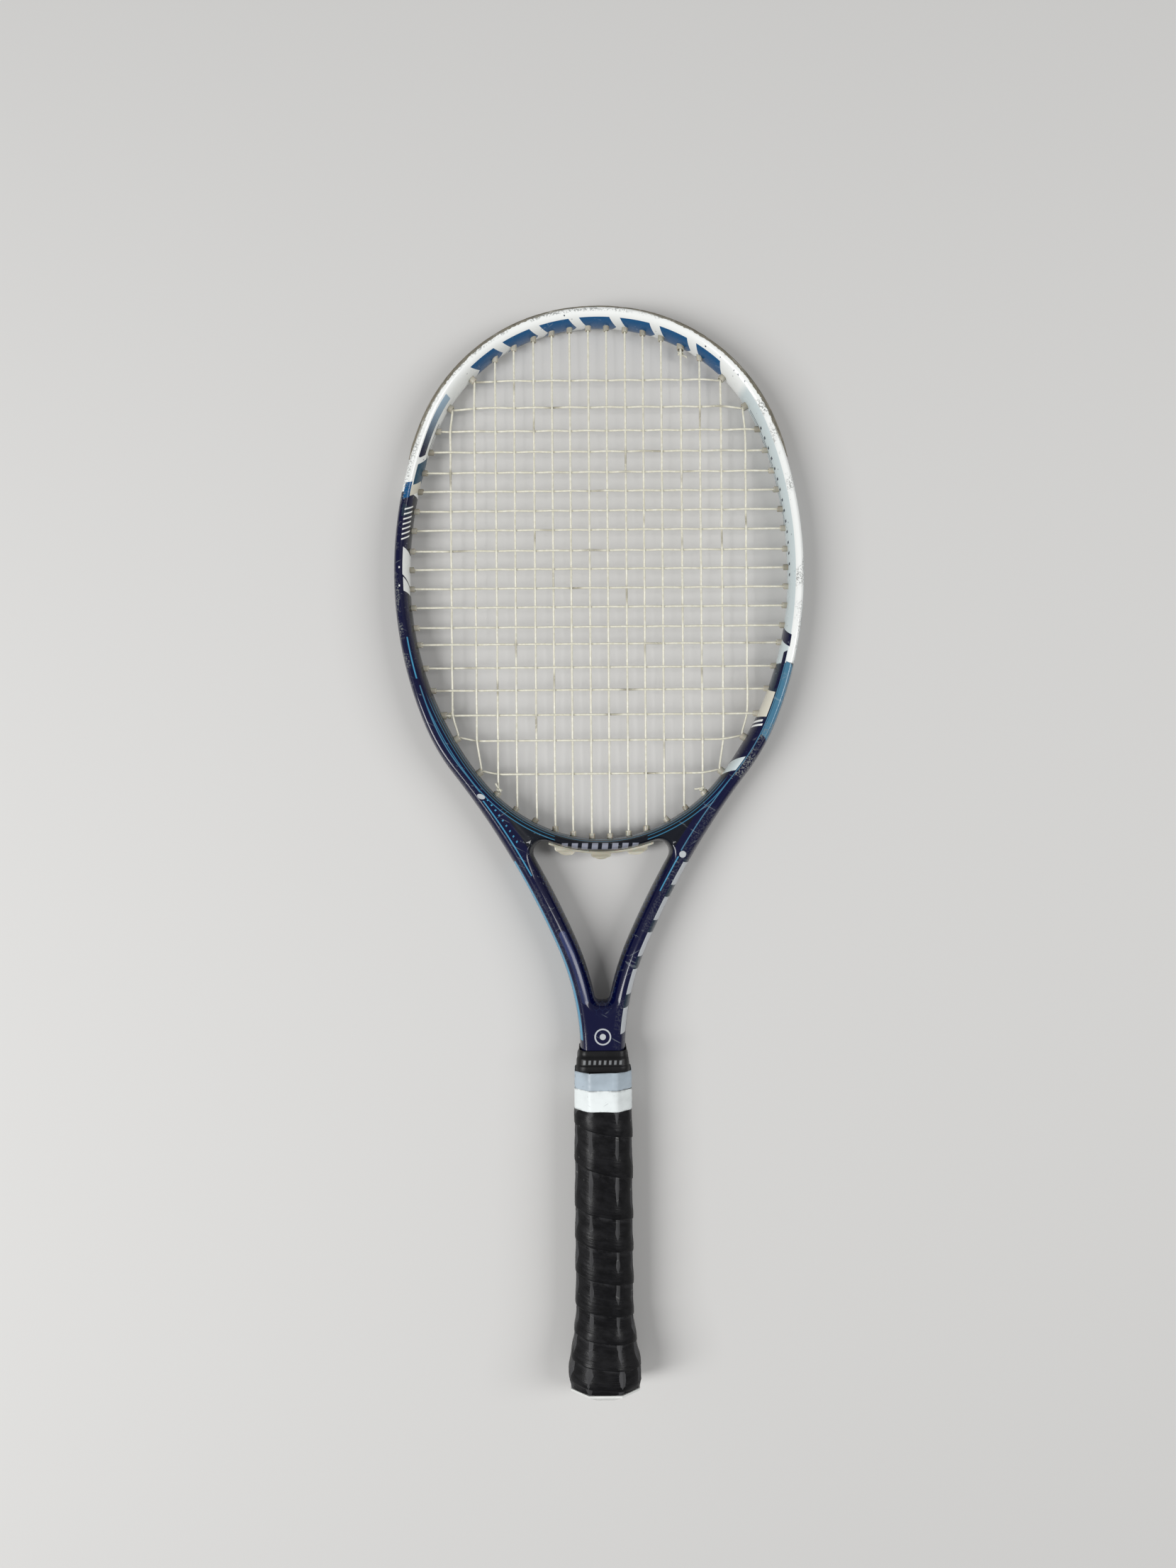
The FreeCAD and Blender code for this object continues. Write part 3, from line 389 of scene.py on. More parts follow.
def frame_rows(shares):
    """The rows across the frame's right half, from the tip to the neck's foot: each one's arc
    length along the outline and the point where it ends inside, and which rows end on the
    bridge. shares are the bridge's columns, whose ends those rows pass one after another."""
    corner = int(np.argmin(np.abs(THROAT.radius - THROAT_CORNER)))
    s_corner = THROAT.first[corner] + THROAT.length[corner] / 2
    j2 = THROAT.place(s_corner)
    s_hoop = HOOP.nearest(j2[None])[1][0]
    j1 = HOOP.place(s_hoop)
    s1, s2 = OUTER.nearest(np.array([j1, j2]))[1]
    crown = even(0, CROWN_LENGTH, 1.9)
    rows = [(crown, OUTER.place(crown, -HOOP_WIDTH))]
    along_hoop = even(FOOT_LENGTH, s_hoop, 1.7)[1:-1]
    share = (FOOT_LENGTH - along_hoop) / (FOOT_LENGTH - s_hoop)
    rows.append((mix(CROWN_LENGTH, s1, share), HOOP.place(along_hoop)))
    rows.append((mix(s1, s2, shares), mix(j1, j2, shares[:, None])))
    foot_fillet = THROAT.first[-2]
    along_throat = even(s_corner, foot_fillet, 1.5)[1:]
    dense = even(s_corner, s_corner + 7, 0.5)[1:-1]
    along_throat = np.concatenate([dense, along_throat[along_throat > s_corner + 7]])
    s_out = OUTER.nearest(THROAT.place(along_throat))[1]
    end_of_channel = np.interp(-STRIP_FOOT_Y, -OUTER.place(s_out)[:, 1], along_throat)
    pair = [end_of_channel - 0.02, end_of_channel + 0.02]
    along_throat = np.sort(np.concatenate([along_throat, pair]))
    inner = THROAT.place(along_throat)
    rows.append((OUTER.nearest(inner)[1], inner))
    along_foot = even(foot_fillet, THROAT.total, 0.35)[1:]
    s_foot = rows[-1][0][-1]
    s_flat = OUTER.nearest(np.array([[NECK_HALF_WIDTH + 2, THROAT_FOOT_Y - 9]]))[1][0]
    share = (along_foot - foot_fillet) / (THROAT.total - foot_fillet)
    rows.append((mix(s_foot, s_flat, share), THROAT.place(along_foot)))
    share = np.linspace(0, 1, 40)[1:]
    down = np.stack([share * 0, mix(THROAT_FOOT_Y, NECK_FOOT_Y, share)], -1)
    rows.append((mix(s_flat, OUTER.total, share), down))
    first = len(rows[0][0]) + len(rows[1][0])
    cut = slice(first, first + len(shares))
    return np.concatenate([r[0] for r in rows]), np.concatenate([r[1] for r in rows]), cut


def frame_quarter(shares):
    """The front half of the frame's right side, and its half of the bridge, each a grid of
    points and of traces. A trace is the arc length along the outline, the way over the
    surface from the outer ridge inwards, and the way over it from the hoop's inner edge."""
    s, inner, cut = frame_rows(shares)
    edge = OUTER.place(s)
    inwards = -left_of(OUTER.direction(s)[1])
    inset = ridge_inset(edge[:, 1])[:, None]
    ridge = edge + inwards * inset
    low = math.asin((CHANNEL_HALF_HEIGHT / BEAM) ** (ROUNDNESS / 2))
    angle = np.linspace(low, np.pi / 2, 9)
    out = 1 - np.cos(angle) ** (2 / ROUNDNESS)
    angle = np.linspace(0, np.pi / 2, 25)[1:]
    across = np.sin(angle) ** (2 / ROUNDNESS)
    face = edge[:, None] + (inwards * inset)[:, None] * out[None, :, None]
    back = mix(ridge[:, None], inner[:, None], across[None, :, None])
    plan = np.concatenate([face, back], 1)
    height = frame_height(plan)
    height[:, -1] *= height[:, -1] > 1
    height[:, 0] = CHANNEL_HALF_HEIGHT
    grooved = edge[:, 1] > STRIP_FOOT_Y
    half = CHANNEL_HALF_HEIGHT / 2
    bulge = inset * (1 - (1 - (half / BEAM) ** ROUNDNESS) ** (1 / ROUNDNESS))
    depth = np.where(grooved[:, None], CHANNEL_DEPTH, np.concatenate([bulge * 0, bulge], 1))
    flank = edge[:, None] + inwards[:, None] * depth[..., None]
    flank_height = np.stack([s * 0, np.where(grooved, CHANNEL_HALF_HEIGHT, half)], -1)
    plan = np.concatenate([flank, plan], 1)
    height = np.concatenate([flank_height, height], 1)
    points = np.concatenate([plan, height[..., None]], -1)
    steps = np.linalg.norm(np.diff(points, axis=1), axis=-1)
    run = np.concatenate([s[:, None] * 0, np.cumsum(steps, 1)], 1)
    over = run - run[:, 10:11]
    from_hoop = edge_length(HOOP.nearest(plan)[0], HOOP_RIDGE[0])
    trace = np.stack([np.repeat(s[:, None], over.shape[1], 1), over, from_hoop], -1)
    return points, trace, cut


def bridge_half(points, trace, cut, shares):
    """The front of the bridge's right half: rows of columns that start on the shared line
    where the bridge leaves the shaft, and end at X = 0."""
    j2 = THROAT.nearest(points[cut][-1, -1:, :2])[1][0]
    j1 = HOOP.nearest(points[cut][0, -1:, :2])[1][0]
    share = np.linspace(1, 0, 48)
    top, low = HOOP.place(share * j1), THROAT.place(share * j2)
    plan = mix(top[:, None], low[:, None], shares[None, :, None])
    half = np.concatenate([plan, frame_height(plan)[..., None]], -1)
    half[0] = points[cut][:, -1]
    steps = np.linalg.norm(np.diff(half, axis=0), axis=-1)
    run = np.concatenate([np.zeros((1, len(shares))), np.cumsum(steps, 0)])
    seam = trace[cut][:, -1]
    from_hoop = edge_length(HOOP.nearest(plan)[0], HOOP_RIDGE[0])
    along = np.broadcast_to(seam[None, :, 0], run.shape)
    return half, np.stack([along, seam[None, :, 1] + run, from_hoop], -1)


def rounded_section(half_width, half_height, radius, count=10):
    """A rectangle with round corners, as points (x, z) in order."""
    angle = np.linspace(0, np.pi / 2, count)
    quarter = np.stack([np.cos(angle), np.sin(angle)], -1) * radius
    quarter += (half_width - radius, half_height - radius)
    second = quarter[::-1] * (-1, 1)
    half = np.concatenate([quarter, second])
    return np.concatenate([half, -half])


# The tang's half-width, half-height and corner radius, then its size at each Y.
TANG_SECTION = (12.7, 10.0, 4.0)
TANG_STATIONS = ((NECK_FOOT_Y - 0.2, 1.0), (19.0, 1.0), (18.0, 11 / 12))


def make_frame_shell(carbon):
    """The moulding: four mirror images of one quarter, and the tang inside the handle."""
    shares = bridge_shares(29)
    points, trace, cut = frame_quarter(shares)
    bridge, bridge_trace = bridge_half(points, trace, cut, shares)
    shape = Shape()
    for x in (1, -1):
        for z in (1, -1):
            shape.grid(mirrored(points, x, z), trace)
            shape.grid(mirrored(bridge, x, z), bridge_trace)
    shell = shape.piece("frame_shell", merge=0.004, sharp=50, fill=True)
    tang = Shape()
    section = rounded_section(*TANG_SECTION)
    rows = [np.insert(section * size, 1, y, axis=1) for y, size in TANG_STATIONS]
    tang.grid(np.array(rows), round_cols=True, caps=True)
    tang_piece = tang.piece("frame_tang", material=carbon)
    return shell, tang_piece


# ---- where the strings pass through the frame -----------------------------------------------
MAINS_X = (5.7, 17.5, 28.8, 40.4, 52.8, 64.7, 78.0, 93.3)
CROSSES_Y = (
    640.9, 623.9, 609.1, 595.9, 582.9, 571.0, 558.6, 546.4, 533.4, 521.7,
    509.6, 497.6, 485.0, 474.2, 459.4, 445.1, 429.4, 413.2, 392.0,
)
SHARED_HOLES = ((6, 0), (6, 18), (7, 1), (7, 17))
BRIDGE_MAINS = 3
LOWER_SLANTS = {3: 42.0, 4: 36.0, 5: 32.0}
WEAVE_HEIGHT = 0.87
WEAVE_RADIUS = 26.0
LANE = 1.4
STRING_BEND = 1.2
MAIN_KNOT = 5
CROSS_KNOT = 4
LAST_CROSS_KNOT = 16
KNOT_LANE = 2.6
KNOT_STAND_OFF = 1.5
STRING_RADIUS = 0.65
STRING_DEPTH = 1.1
BARREL_PROUD = 3.0
BARREL = (1.9, 0.9)
SHARED_BARREL = (2.4, 1.55)
BRIDGE_DROP = 11.55
BARREL_MARK = 1000.0
UP, DOWN, ACROSS = np.array([0.0, 1]), np.array([0.0, -1]), np.array([1.0, 0])


class Hole:
    """One grommet hole: its ends inside the hoop and at the strings' line outside, and the
    heights of the strings in it."""

    def __init__(self, strip, side, inner, out, lanes):
        self.strip, self.side = strip, side
        self.inner = inner * (side, 1)
        self.out = out * (side, 1)
        self.length = float(np.hypot(*(self.out - self.inner)))
        self.direction = (self.out - self.inner) / self.length
        self.height = sum(lanes) / len(lanes)
        self.radius, self.bore = SHARED_BARREL if len(lanes) > 1 else BARREL


def straight_hole(strip, side, start, direction, lanes):
    mouth = HOOP.hit(start, direction)
    out = OUTER.hit(mouth, direction, -STRING_DEPTH)
    return Hole(strip, side, mouth - direction * BARREL_PROUD, out, lanes)


def foot_hole(side, main, lanes):
    """A main string's hole at the foot of the hoop: through the bridge, or slanting out."""
    mouth = HOOP.hit(np.array([MAINS_X[main], WIDEST[1]]), DOWN)
    inner = mouth - DOWN * BARREL_PROUD
    if main < BRIDGE_MAINS:
        out = HOOP.hit(mouth + DOWN * 0.1, DOWN, -BRIDGE_DROP)
        return Hole("bridge", side, inner, out, lanes)
    slant = math.radians(LOWER_SLANTS[main] - 90)
    direction = np.array([math.cos(slant), math.sin(slant)])
    return Hole("side", side, inner, OUTER.hit(inner, direction, -STRING_DEPTH), lanes)


def shared_hole(strip, side, corner):
    """A hole that a main and a cross share, square to the hoop's wall."""
    edge = HOOP.nearest(corner[None])[1][0]
    direction = -left_of(HOOP.direction(edge)[1])
    mouth = HOOP.hit(corner - direction * 20, direction)
    out = OUTER.hit(mouth, direction, -STRING_DEPTH)
    return Hole(strip, side, mouth - direction * BARREL_PROUD, out, (0.0, -LANE))


def string_holes():
    """Every hole by name: T or F is a main string's at the tip or foot, C is a cross's. The
    number counts from the middle or from the tip, and R or L is the side."""
    holes = {}
    for side, letter in ((1, "R"), (-1, "L")):
        for main, cross in SHARED_HOLES:
            corner = np.array([MAINS_X[main], CROSSES_Y[cross]])
            at_tip = corner[1] > WIDEST[1]
            hole = shared_hole("bumper" if at_tip else "side", side, corner)
            holes[("T" if at_tip else "F") + str(main) + letter] = hole
            holes["C" + str(cross) + letter] = hole
        for main, x in enumerate(MAINS_X[:6]):
            lanes = (0.0, -LANE) if (main, side) == (CROSS_KNOT, 1) else (0.0,)
            top = straight_hole("bumper", side, np.array([x, WIDEST[1]]), UP, lanes)
            holes["T" + str(main) + letter] = top
            lanes = (0.0, LANE) if main == MAIN_KNOT else (0.0,)
            holes["F" + str(main) + letter] = foot_hole(side, main, lanes)
        for cross, y in enumerate(CROSSES_Y):
            if "C" + str(cross) + letter not in holes:
                tied = (cross, side) == (LAST_CROSS_KNOT, -1)
                strip = "bumper" if y > BUMPER_FOOT_Y else "side"
                lanes = (0.0, -LANE) if tied else (0.0,)
                hole = straight_hole(strip, side, np.array([0.0, y]), ACROSS, lanes)
                holes["C" + str(cross) + letter] = hole
    return holes


HOLES = string_holes()
EACH_HOLE = list({id(h): h for h in HOLES.values()}.values())


# ---- strings --------------------------------------------------------------------------------
def raised(point, z):
    return np.array([point[0], point[1], z])


def over_groove(a, b, low, high):
    """The point that a long way round the outside passes, with its radius; a short way has
    none."""
    if np.hypot(*(b - a)) < 16:
        return []
    middle = (a + b) / 2
    side = np.array([1 if middle[0] > 0 else -1, 1])
    centre = np.array([0, WIDEST[1]])
    ray = middle * side - centre
    place = OUTER.hit(centre, ray / np.hypot(*ray), -STRING_DEPTH) * side
    return [(raised(place, (low + high) / 2), WEAVE_RADIUS)]


def through(hole, z, outwards):
    pair = [(raised(hole.inner, z), STRING_BEND * 3), (raised(hole.out, z), STRING_BEND)]
    return pair if outwards else pair[::-1]


def main_crossings(main):
    """The crosses, tip to foot, that a main passes over or under."""
    ends = [cross for m, cross in SHARED_HOLES if m == main]
    return [j for j in range(len(CROSSES_Y)) if not ends or min(ends) < j < max(ends)]


def weave(main, side, cross):
    """Where a main and a cross pass, at the main's height."""
    column = main if side > 0 else -1 - main
    height = WEAVE_HEIGHT if (column + cross) % 2 == 0 else -WEAVE_HEIGHT
    return np.array([MAINS_X[main] * side, CROSSES_Y[cross], height])


def knot_place(hole, z):
    place = hole.inner - hole.direction * KNOT_STAND_OFF
    return raised(place, KNOT_LANE if z > 0 else -KNOT_LANE)


def half_of_mains(side):
    """The main string's route from its knot to the middle of the bridge."""
    letter = "R" if side > 0 else "L"
    tie, passed, first = (HOLES[n + letter] for n in ("F5", "F6", "F7"))
    points = [(knot_place(tie, LANE), STRING_BEND)] + through(tie, LANE, True)
    points += over_groove(tie.out, passed.out, LANE, LANE)
    points.append((raised(passed.out, LANE), WEAVE_RADIUS))
    points += over_groove(passed.out, first.out, LANE, 0)
    for main in range(len(MAINS_X) - 1, -1, -1):
        upwards = main % 2 == 1
        ends = [HOLES["F" + str(main) + letter], HOLES["T" + str(main) + letter]]
        crossings = main_crossings(main)
        if upwards:
            crossings = crossings[::-1]
        else:
            ends = ends[::-1]
        points += through(ends[0], 0, False)
        points += [(weave(main, side, j), WEAVE_RADIUS) for j in crossings]
        points += through(ends[1], 0, True)
        if main > 0:
            follow = HOLES[("T" if upwards else "F") + str(main - 1) + letter]
            points += over_groove(ends[1].out, follow.out, 0, 0)
    return points


def cross_route():
    """The cross string's route, from its knot at the tip to its knot at the foot."""
    start = HOLES["T" + str(CROSS_KNOT) + "R"]
    passed = HOLES["T" + str(CROSS_KNOT + 1) + "R"]
    points = [(knot_place(start, -LANE), STRING_BEND)] + through(start, -LANE, True)
    points.append((raised(passed.out, -LANE), WEAVE_RADIUS))
    points += over_groove(passed.out, HOLES["C0R"].out, -LANE, -LANE)
    lanes = {cross: -LANE for _, cross in SHARED_HOLES}
    for cross in range(len(CROSSES_Y)):
        z = lanes.get(cross, 0)
        begin, finish = ("R", "L") if cross % 2 == 0 else ("L", "R")
        side = 1 if begin == "R" else -1
        met = [m for m in range(len(MAINS_X)) if cross in main_crossings(m)]
        places = [weave(m, side, cross) for m in reversed(met)]
        places += [weave(m, -side, cross) for m in met]
        points += through(HOLES["C" + str(cross) + begin], z, False)
        points += [(p * (1, 1, -1), WEAVE_RADIUS) for p in places]
        points += through(HOLES["C" + str(cross) + finish], z, True)
        if cross + 1 < len(CROSSES_Y):
            ends = [HOLES["C" + str(k) + finish].out for k in (cross, cross + 1)]
            points += over_groove(ends[0], ends[1], z, lanes.get(cross + 1, 0))
    last, passed = HOLES["C18L"], HOLES["C17L"]
    tie = HOLES["C" + str(LAST_CROSS_KNOT) + "L"]
    points += over_groove(last.out, passed.out, -LANE, -2 * LANE)
    points.append((raised(passed.out, -2 * LANE), WEAVE_RADIUS))
    points += over_groove(passed.out, tie.out, -2 * LANE, -LANE)
    points += through(tie, -LANE, False)
    points.append((knot_place(tie, -LANE), STRING_BEND))
    return points


def rounded_path(points):
    """The route as a line of points: straight runs joined by tangent arcs, where each arc's
    run-in is its radius times the tangent of half the turn, cut to fit the runs."""
    line = [points[0][0][None]]
    for (before, _), (place, radius), (after, _) in zip(points, points[1:], points[2:]):
        arriving, leaving = place - before, after - place
        shorter = min(np.linalg.norm(arriving), np.linalg.norm(leaving))
        arriving = arriving / np.linalg.norm(arriving)
        leaving = leaving / np.linalg.norm(leaving)
        half = math.acos(np.clip(arriving @ leaving, -1, 1)) / 2
        if half < 0.002:
            continue
        run_in = min(radius * math.tan(half), 0.45 * shorter)
        radius = run_in / math.tan(half)
        square = leaving - arriving * (leaving @ arriving)
        square = square / np.linalg.norm(square)
        turn = np.linspace(0, 2 * half, 3 + int(half * 8))[:, None]
        start = place - arriving * run_in
        line.append(start + (arriving * np.sin(turn) + square * (1 - np.cos(turn))) * radius)
    line.append(points[-1][0][None])
    return np.concatenate(line)


def tube(shape, line, radius, sides=10, square=None):
    """A round tube along a line of points: at each point a circle in the plane of two
    vectors square to the line. The trace is the length along the line."""
    along = np.gradient(line, axis=0)
    along /= np.linalg.norm(along, axis=1, keepdims=True)
    first = np.cross(along, (0, 0, 1) if square is None else square)
    first /= np.linalg.norm(first, axis=1, keepdims=True)
    second = np.cross(first, along)
    angle = np.linspace(0, 2 * np.pi, sides, endpoint=False)[None, :, None]
    ring = first[:, None] * np.cos(angle) + second[:, None] * np.sin(angle)
    run = np.linalg.norm(np.diff(line, axis=0), axis=1)
    run = np.concatenate([[0], np.cumsum(run)])
    trace = np.zeros(ring.shape)
    trace[..., 0] = run[:, None]
    shape.grid(line[:, None] + ring * np.asarray(radius).reshape(-1, 1, 1), trace,
               round_cols=True, caps=True)


def knot(shape, hole, place):
    """A knot drawn tight round the string beside it: a three-crossing knot on a ring, where
    the line goes twice round the ring and three times round its tube, and a cut tail."""
    turn = np.linspace(0, 2 * np.pi, 97)
    lobe = np.stack([np.cos(3 * turn) * np.cos(2 * turn), np.cos(3 * turn) * np.sin(2 * turn),
                     np.sin(3 * turn)], -1)
    ring = np.stack([np.cos(2 * turn), np.sin(2 * turn), turn * 0], -1)
    axis = raised(hole.direction, 0)
    side = np.cross(axis, (0, 0, 1))
    basis = np.stack([side, (0, 0, 1), axis])
    line = (ring * 1.05 + lobe * 0.55) @ basis + place
    tube(shape, line, 0.56, 8, lobe @ basis)
    lift = math.copysign(1, place[2])
    reach = np.linspace(0, 1, 9)[:, None]
    tail = place + side * 1.0 + side * 3.2 * reach - axis * (1.0 + 1.4 * reach ** 2)
    tube(shape, tail + (0, 0, 0.5 * lift) * reach, 0.58, 8)


def make_strings(material):
    """The main and the cross string, each one tube with its two knots."""
    right, left = half_of_mains(1), half_of_mains(-1)
    routes = (("main_string", right + left[::-1], ("F5R", LANE), ("F5L", LANE)),
              ("cross_string", cross_route(), ("T4R", -LANE), ("C16L", -LANE)))
    pieces = []
    for name, route, *knots in routes:
        shape = Shape()
        tube(shape, rounded_path(route), STRING_RADIUS)
        for hole, lane in knots:
            knot(shape, HOLES[hole], knot_place(HOLES[hole], lane))
        pieces.append(shape.piece(name + "_woven", sharp=60, material=material))
    return pieces


# ---- strips, barrels and bumper -------------------------------------------------------------
# How far in the strips' back lies, half their height, and how far in the groove's floor lies.
STRIP_BACK, STRIP_HALF_HEIGHT, GROOVE_FLOOR = 2.95, 5.15, 1.8
# The guard's thickness across, thinnest at its edge, and the length its ends taper over.
BUMPER_THICK = (0.9, 1.12, 1.2, 1.2, 1.2, 1.16, 1.1, 1.0, 0.88, 0.5, 0.15)
BUMPER_TAPER = 9.0
# How far from the tip the guard's edge reaches furthest round, and how widely it does.
SHOULDER_AT, SHOULDER_SPREAD = 112.0, 52.0


def sweep_outline(shape, s, section):
    """Carries a closed section round the outline. The section holds (depth, height) pairs,
    one row of them for each signed arc length in s, and the left side is negative."""
    side = np.where(s < 0, -1.0, 1.0)[:, None]
    mirror = np.concatenate([side, side ** 2], 1)
    edge = OUTER.place(np.abs(s)) * mirror
    inwards = -left_of(OUTER.direction(np.abs(s))[1]) * mirror
    plan = edge[:, None] + inwards[:, None] * section[..., :1]
    points = np.concatenate([plan, section[..., 1:]], -1)
    trace = np.zeros(points.shape)
    trace[..., 0] = s[:, None]
    trace[..., 1:] = section
    shape.grid(points, trace, round_cols=True, caps=True)


def barrel(shape, hole, index):
    """A grommet's barrel: a tube turned round the hole's axis, its lip rounded and its end
    cut a little uneven."""
    reach, r, b = hole.length - 1.0, hole.radius, hole.bore
    profile = np.array([
        (0.5, r), (0.2, r - 0.06), (0.04, r - 0.2), (0, r - 0.42), (0.05, b + 0.16),
        (0.25, b), (reach, b), (reach, r),
    ])
    angle = np.linspace(0, 2 * np.pi, 20, endpoint=False)
    axis = raised(hole.direction, 0)
    side = np.cross(axis, (0, 0, 1))
    ring = side * np.cos(angle)[:, None] + np.array([0, 0, 1]) * np.sin(angle)[:, None]
    uneven = 0.35 * math.sin(index * 2.4) * np.cos(angle + index * 1.7)
    along = profile[:, None, :1] + (profile[:, None, :1] < 1) * uneven[None, :, None]
    points = raised(hole.inner, hole.height) + axis * along + ring * profile[:, None, 1:]
    trace = np.zeros(points.shape)
    trace[..., 0] = BARREL_MARK
    trace[..., 1] = along[..., 0]
    shape.grid(points, trace, round_rows=True, round_cols=True)


def outline_length(y):
    """The arc length along the outline where it has come down to y."""
    s = np.linspace(0, OUTER.total, 4000)
    return float(np.interp(-y, -OUTER.place(s)[:, 1], s))


def make_side_strips(material):
    """The two strips in the side channels: a floor with a rail along each edge, and their
    barrels."""
    section = np.array([
        (0.45, STRIP_HALF_HEIGHT), (STRIP_BACK, STRIP_HALF_HEIGHT),
        (STRIP_BACK, -STRIP_HALF_HEIGHT), (0.45, -STRIP_HALF_HEIGHT), (0.3, -5.0), (0.3, -3.8),
        (0.45, -3.6), (GROOVE_FLOOR, -3.6), (GROOVE_FLOOR, 3.6), (0.45, 3.6), (0.3, 3.8),
        (0.3, 5.0),
    ])
    s = even(outline_length(BUMPER_FOOT_Y - 0.3), outline_length(STRIP_FOOT_Y + 0.05), 2.5)
    pieces = []
    for side, name in ((1, "right"), (-1, "left")):
        shape = Shape()
        sweep_outline(shape, s * side, np.broadcast_to(section, (len(s),) + section.shape))
        for index, hole in enumerate(h for h in EACH_HOLE if h.strip == "side"):
            if hole.side == side:
                barrel(shape, hole, index)
        pieces.append(shape.piece("grommets_" + name, sharp=50, material=material))
    return pieces


def make_bumper(material):
    """The guard round the crown: its outside follows the frame's, thins towards its uneven
    edges, which reach furthest round at the shoulders, and has the strings' groove down its
    middle."""
    end = outline_length(BUMPER_FOOT_Y)
    s = even(-end, end, 1.6)
    taper = smooth(end - np.abs(s), 0, BUMPER_TAPER)
    wobble = 0.45 * np.sin(s * 0.31) * np.sin(s * 0.083 + 1) + 0.25 * np.sin(s * 1.1)
    shoulder = np.exp(-((np.abs(s) - SHOULDER_AT) / SHOULDER_SPREAD) ** 2)
    edge = 8.3 + (1.5 + 1.9 * shoulder + wobble) * taper
    share = np.linspace(0, 1, 7)[None, :-1]
    height = np.concatenate([np.broadcast_to([3.6, 3.75, 4.3], (len(s), 3)),
                             mix(5.2, edge[:, None] - 0.25, share), edge[:, None] - 0.25,
                             edge[:, None]], 1)
    inset = OUTER_RIDGE[0] * (1 - (1 - (height / BEAM) ** ROUNDNESS) ** (1 / ROUNDNESS))
    thick = np.array(BUMPER_THICK) * (0.55 + 0.45 * taper[:, None])
    face = np.stack([inset - thick, height], -1)
    under = np.stack([inset + 0.05, height], -1)[:, :2:-1]
    low = np.broadcast_to([(STRIP_BACK, STRIP_HALF_HEIGHT), (STRIP_BACK, 0.0)], (len(s), 2, 2))
    groove = np.broadcast_to([(GROOVE_FLOOR, 0.0), (GROOVE_FLOOR, 3.5)], (len(s), 2, 2))
    half = np.concatenate([groove, face, under, low], 1)
    other = half[:, ::-1] * (1, -1)
    section = np.concatenate([half, other[:, 1:-1]], 1)
    shape = Shape()
    sweep_outline(shape, s, section)
    for index, hole in enumerate(h for h in EACH_HOLE if h.strip == "bumper"):
        barrel(shape, hole, index)
    return shape.piece("bumper", sharp=45, material=material)


# ---- handle ---------------------------------------------------------------------------------
OCTAGON_LIFT = 2.25
BEVEL_X, BEVEL_Z = 0.52, 0.5
AROUND = 192
CAP_SLEEVE = ((8, 19.0), (14, 20.7), (20.6, 20.25), (27.3, 18.9), (34, 17.55), (42, 17.1))
GRIP_FOOT_Y, GRIP_TOP_Y, TAPE_FOOT_Y, TAPE_SPLIT_Y, TAPE_TOP_Y = 8.0, 193.0, 182.0, 195.0, 206.0
PALLET_HALF_WIDTH = 15.85
BASE_GRIP = 1.7
GRIP_SKIN = 0.7
# Each tape's half-width, the slant of its edges, and where its outer end stands, a share of
# the way round.
LOWER_TAPE = (18.15, 0.5, 0.82)
UPPER_TAPE = (17.95, -0.35, 0.3)
TAPE_ROWS = 30
WRAP_EDGES = (-14.0, 2.0, 14.0, 27.0, 43.0, 60.1, 81.1, 101.3, 121.5, 150.6, 173.9, 197.0, 220.0)


def octagon_parts(spread):
    """The handle's eight-sided ring as a part that grows with its half-width and a part that
    doesn't, from the left side over the front and round the back. Its corners are rounded
    by a running average along the ring."""
    w, h = np.array([1.0, 0.0]), np.array([1.0, -OCTAGON_LIFT])
    corners = [(-w, (1 - BEVEL_Z) * h), (-(1 - BEVEL_X) * w, h), ((1 - BEVEL_X) * w, h),
               (w, (1 - BEVEL_Z) * h), (w, (BEVEL_Z - 1) * h), ((1 - BEVEL_X) * w, -h),
               (-(1 - BEVEL_X) * w, -h), (-w, (BEVEL_Z - 1) * h)]
    ring = np.array([[x, z] for x, z in corners])
    ring = np.concatenate([[(ring[-1] + ring[0]) / 2], ring, [(ring[-1] + ring[0]) / 2]])
    at_size = ring @ np.array([18.0, 1.0])
    run = np.concatenate([[0], np.cumsum(np.linalg.norm(np.diff(at_size, axis=0), axis=1))])
    s = np.linspace(0, run[-1], AROUND, endpoint=False)
    dense = np.stack([[np.interp(s, run, ring[:, i, j]) for j in (0, 1)] for i in (0, 1)])
    reach = np.arange(-14, 15)
    weight = np.exp(-(reach / spread) ** 2)
    weight /= weight.sum()
    rolled = [np.roll(dense, k, axis=-1) * share for k, share in zip(reach, weight)]
    return np.sum(rolled, axis=0)


SOFT_OCTAGON = octagon_parts(6.8)
FIRM_OCTAGON = octagon_parts(2.6)


def octagon_points(half_width, y, column, octagon=SOFT_OCTAGON):
    """Points on rounded octagons: of the given half-widths, at y, in the given columns."""
    parts = octagon[:, :, column % AROUND]
    x = parts[0, 0] * half_width + parts[0, 1]
    z = parts[1, 0] * half_width + parts[1, 1]
    return np.stack([x, y + 0 * x, z], -1)


def core_half_width(y):
    """Half the width of what the base grip is wound on."""
    stations = list(CAP_SLEEVE) + [(48, PALLET_HALF_WIDTH), (TAPE_TOP_Y, PALLET_HALF_WIDTH)]
    at, width = np.array(stations).T
    spread = np.linspace(-2.5, 2.5, 9)
    return np.mean([np.interp(y + d, at, width) for d in spread], axis=0)


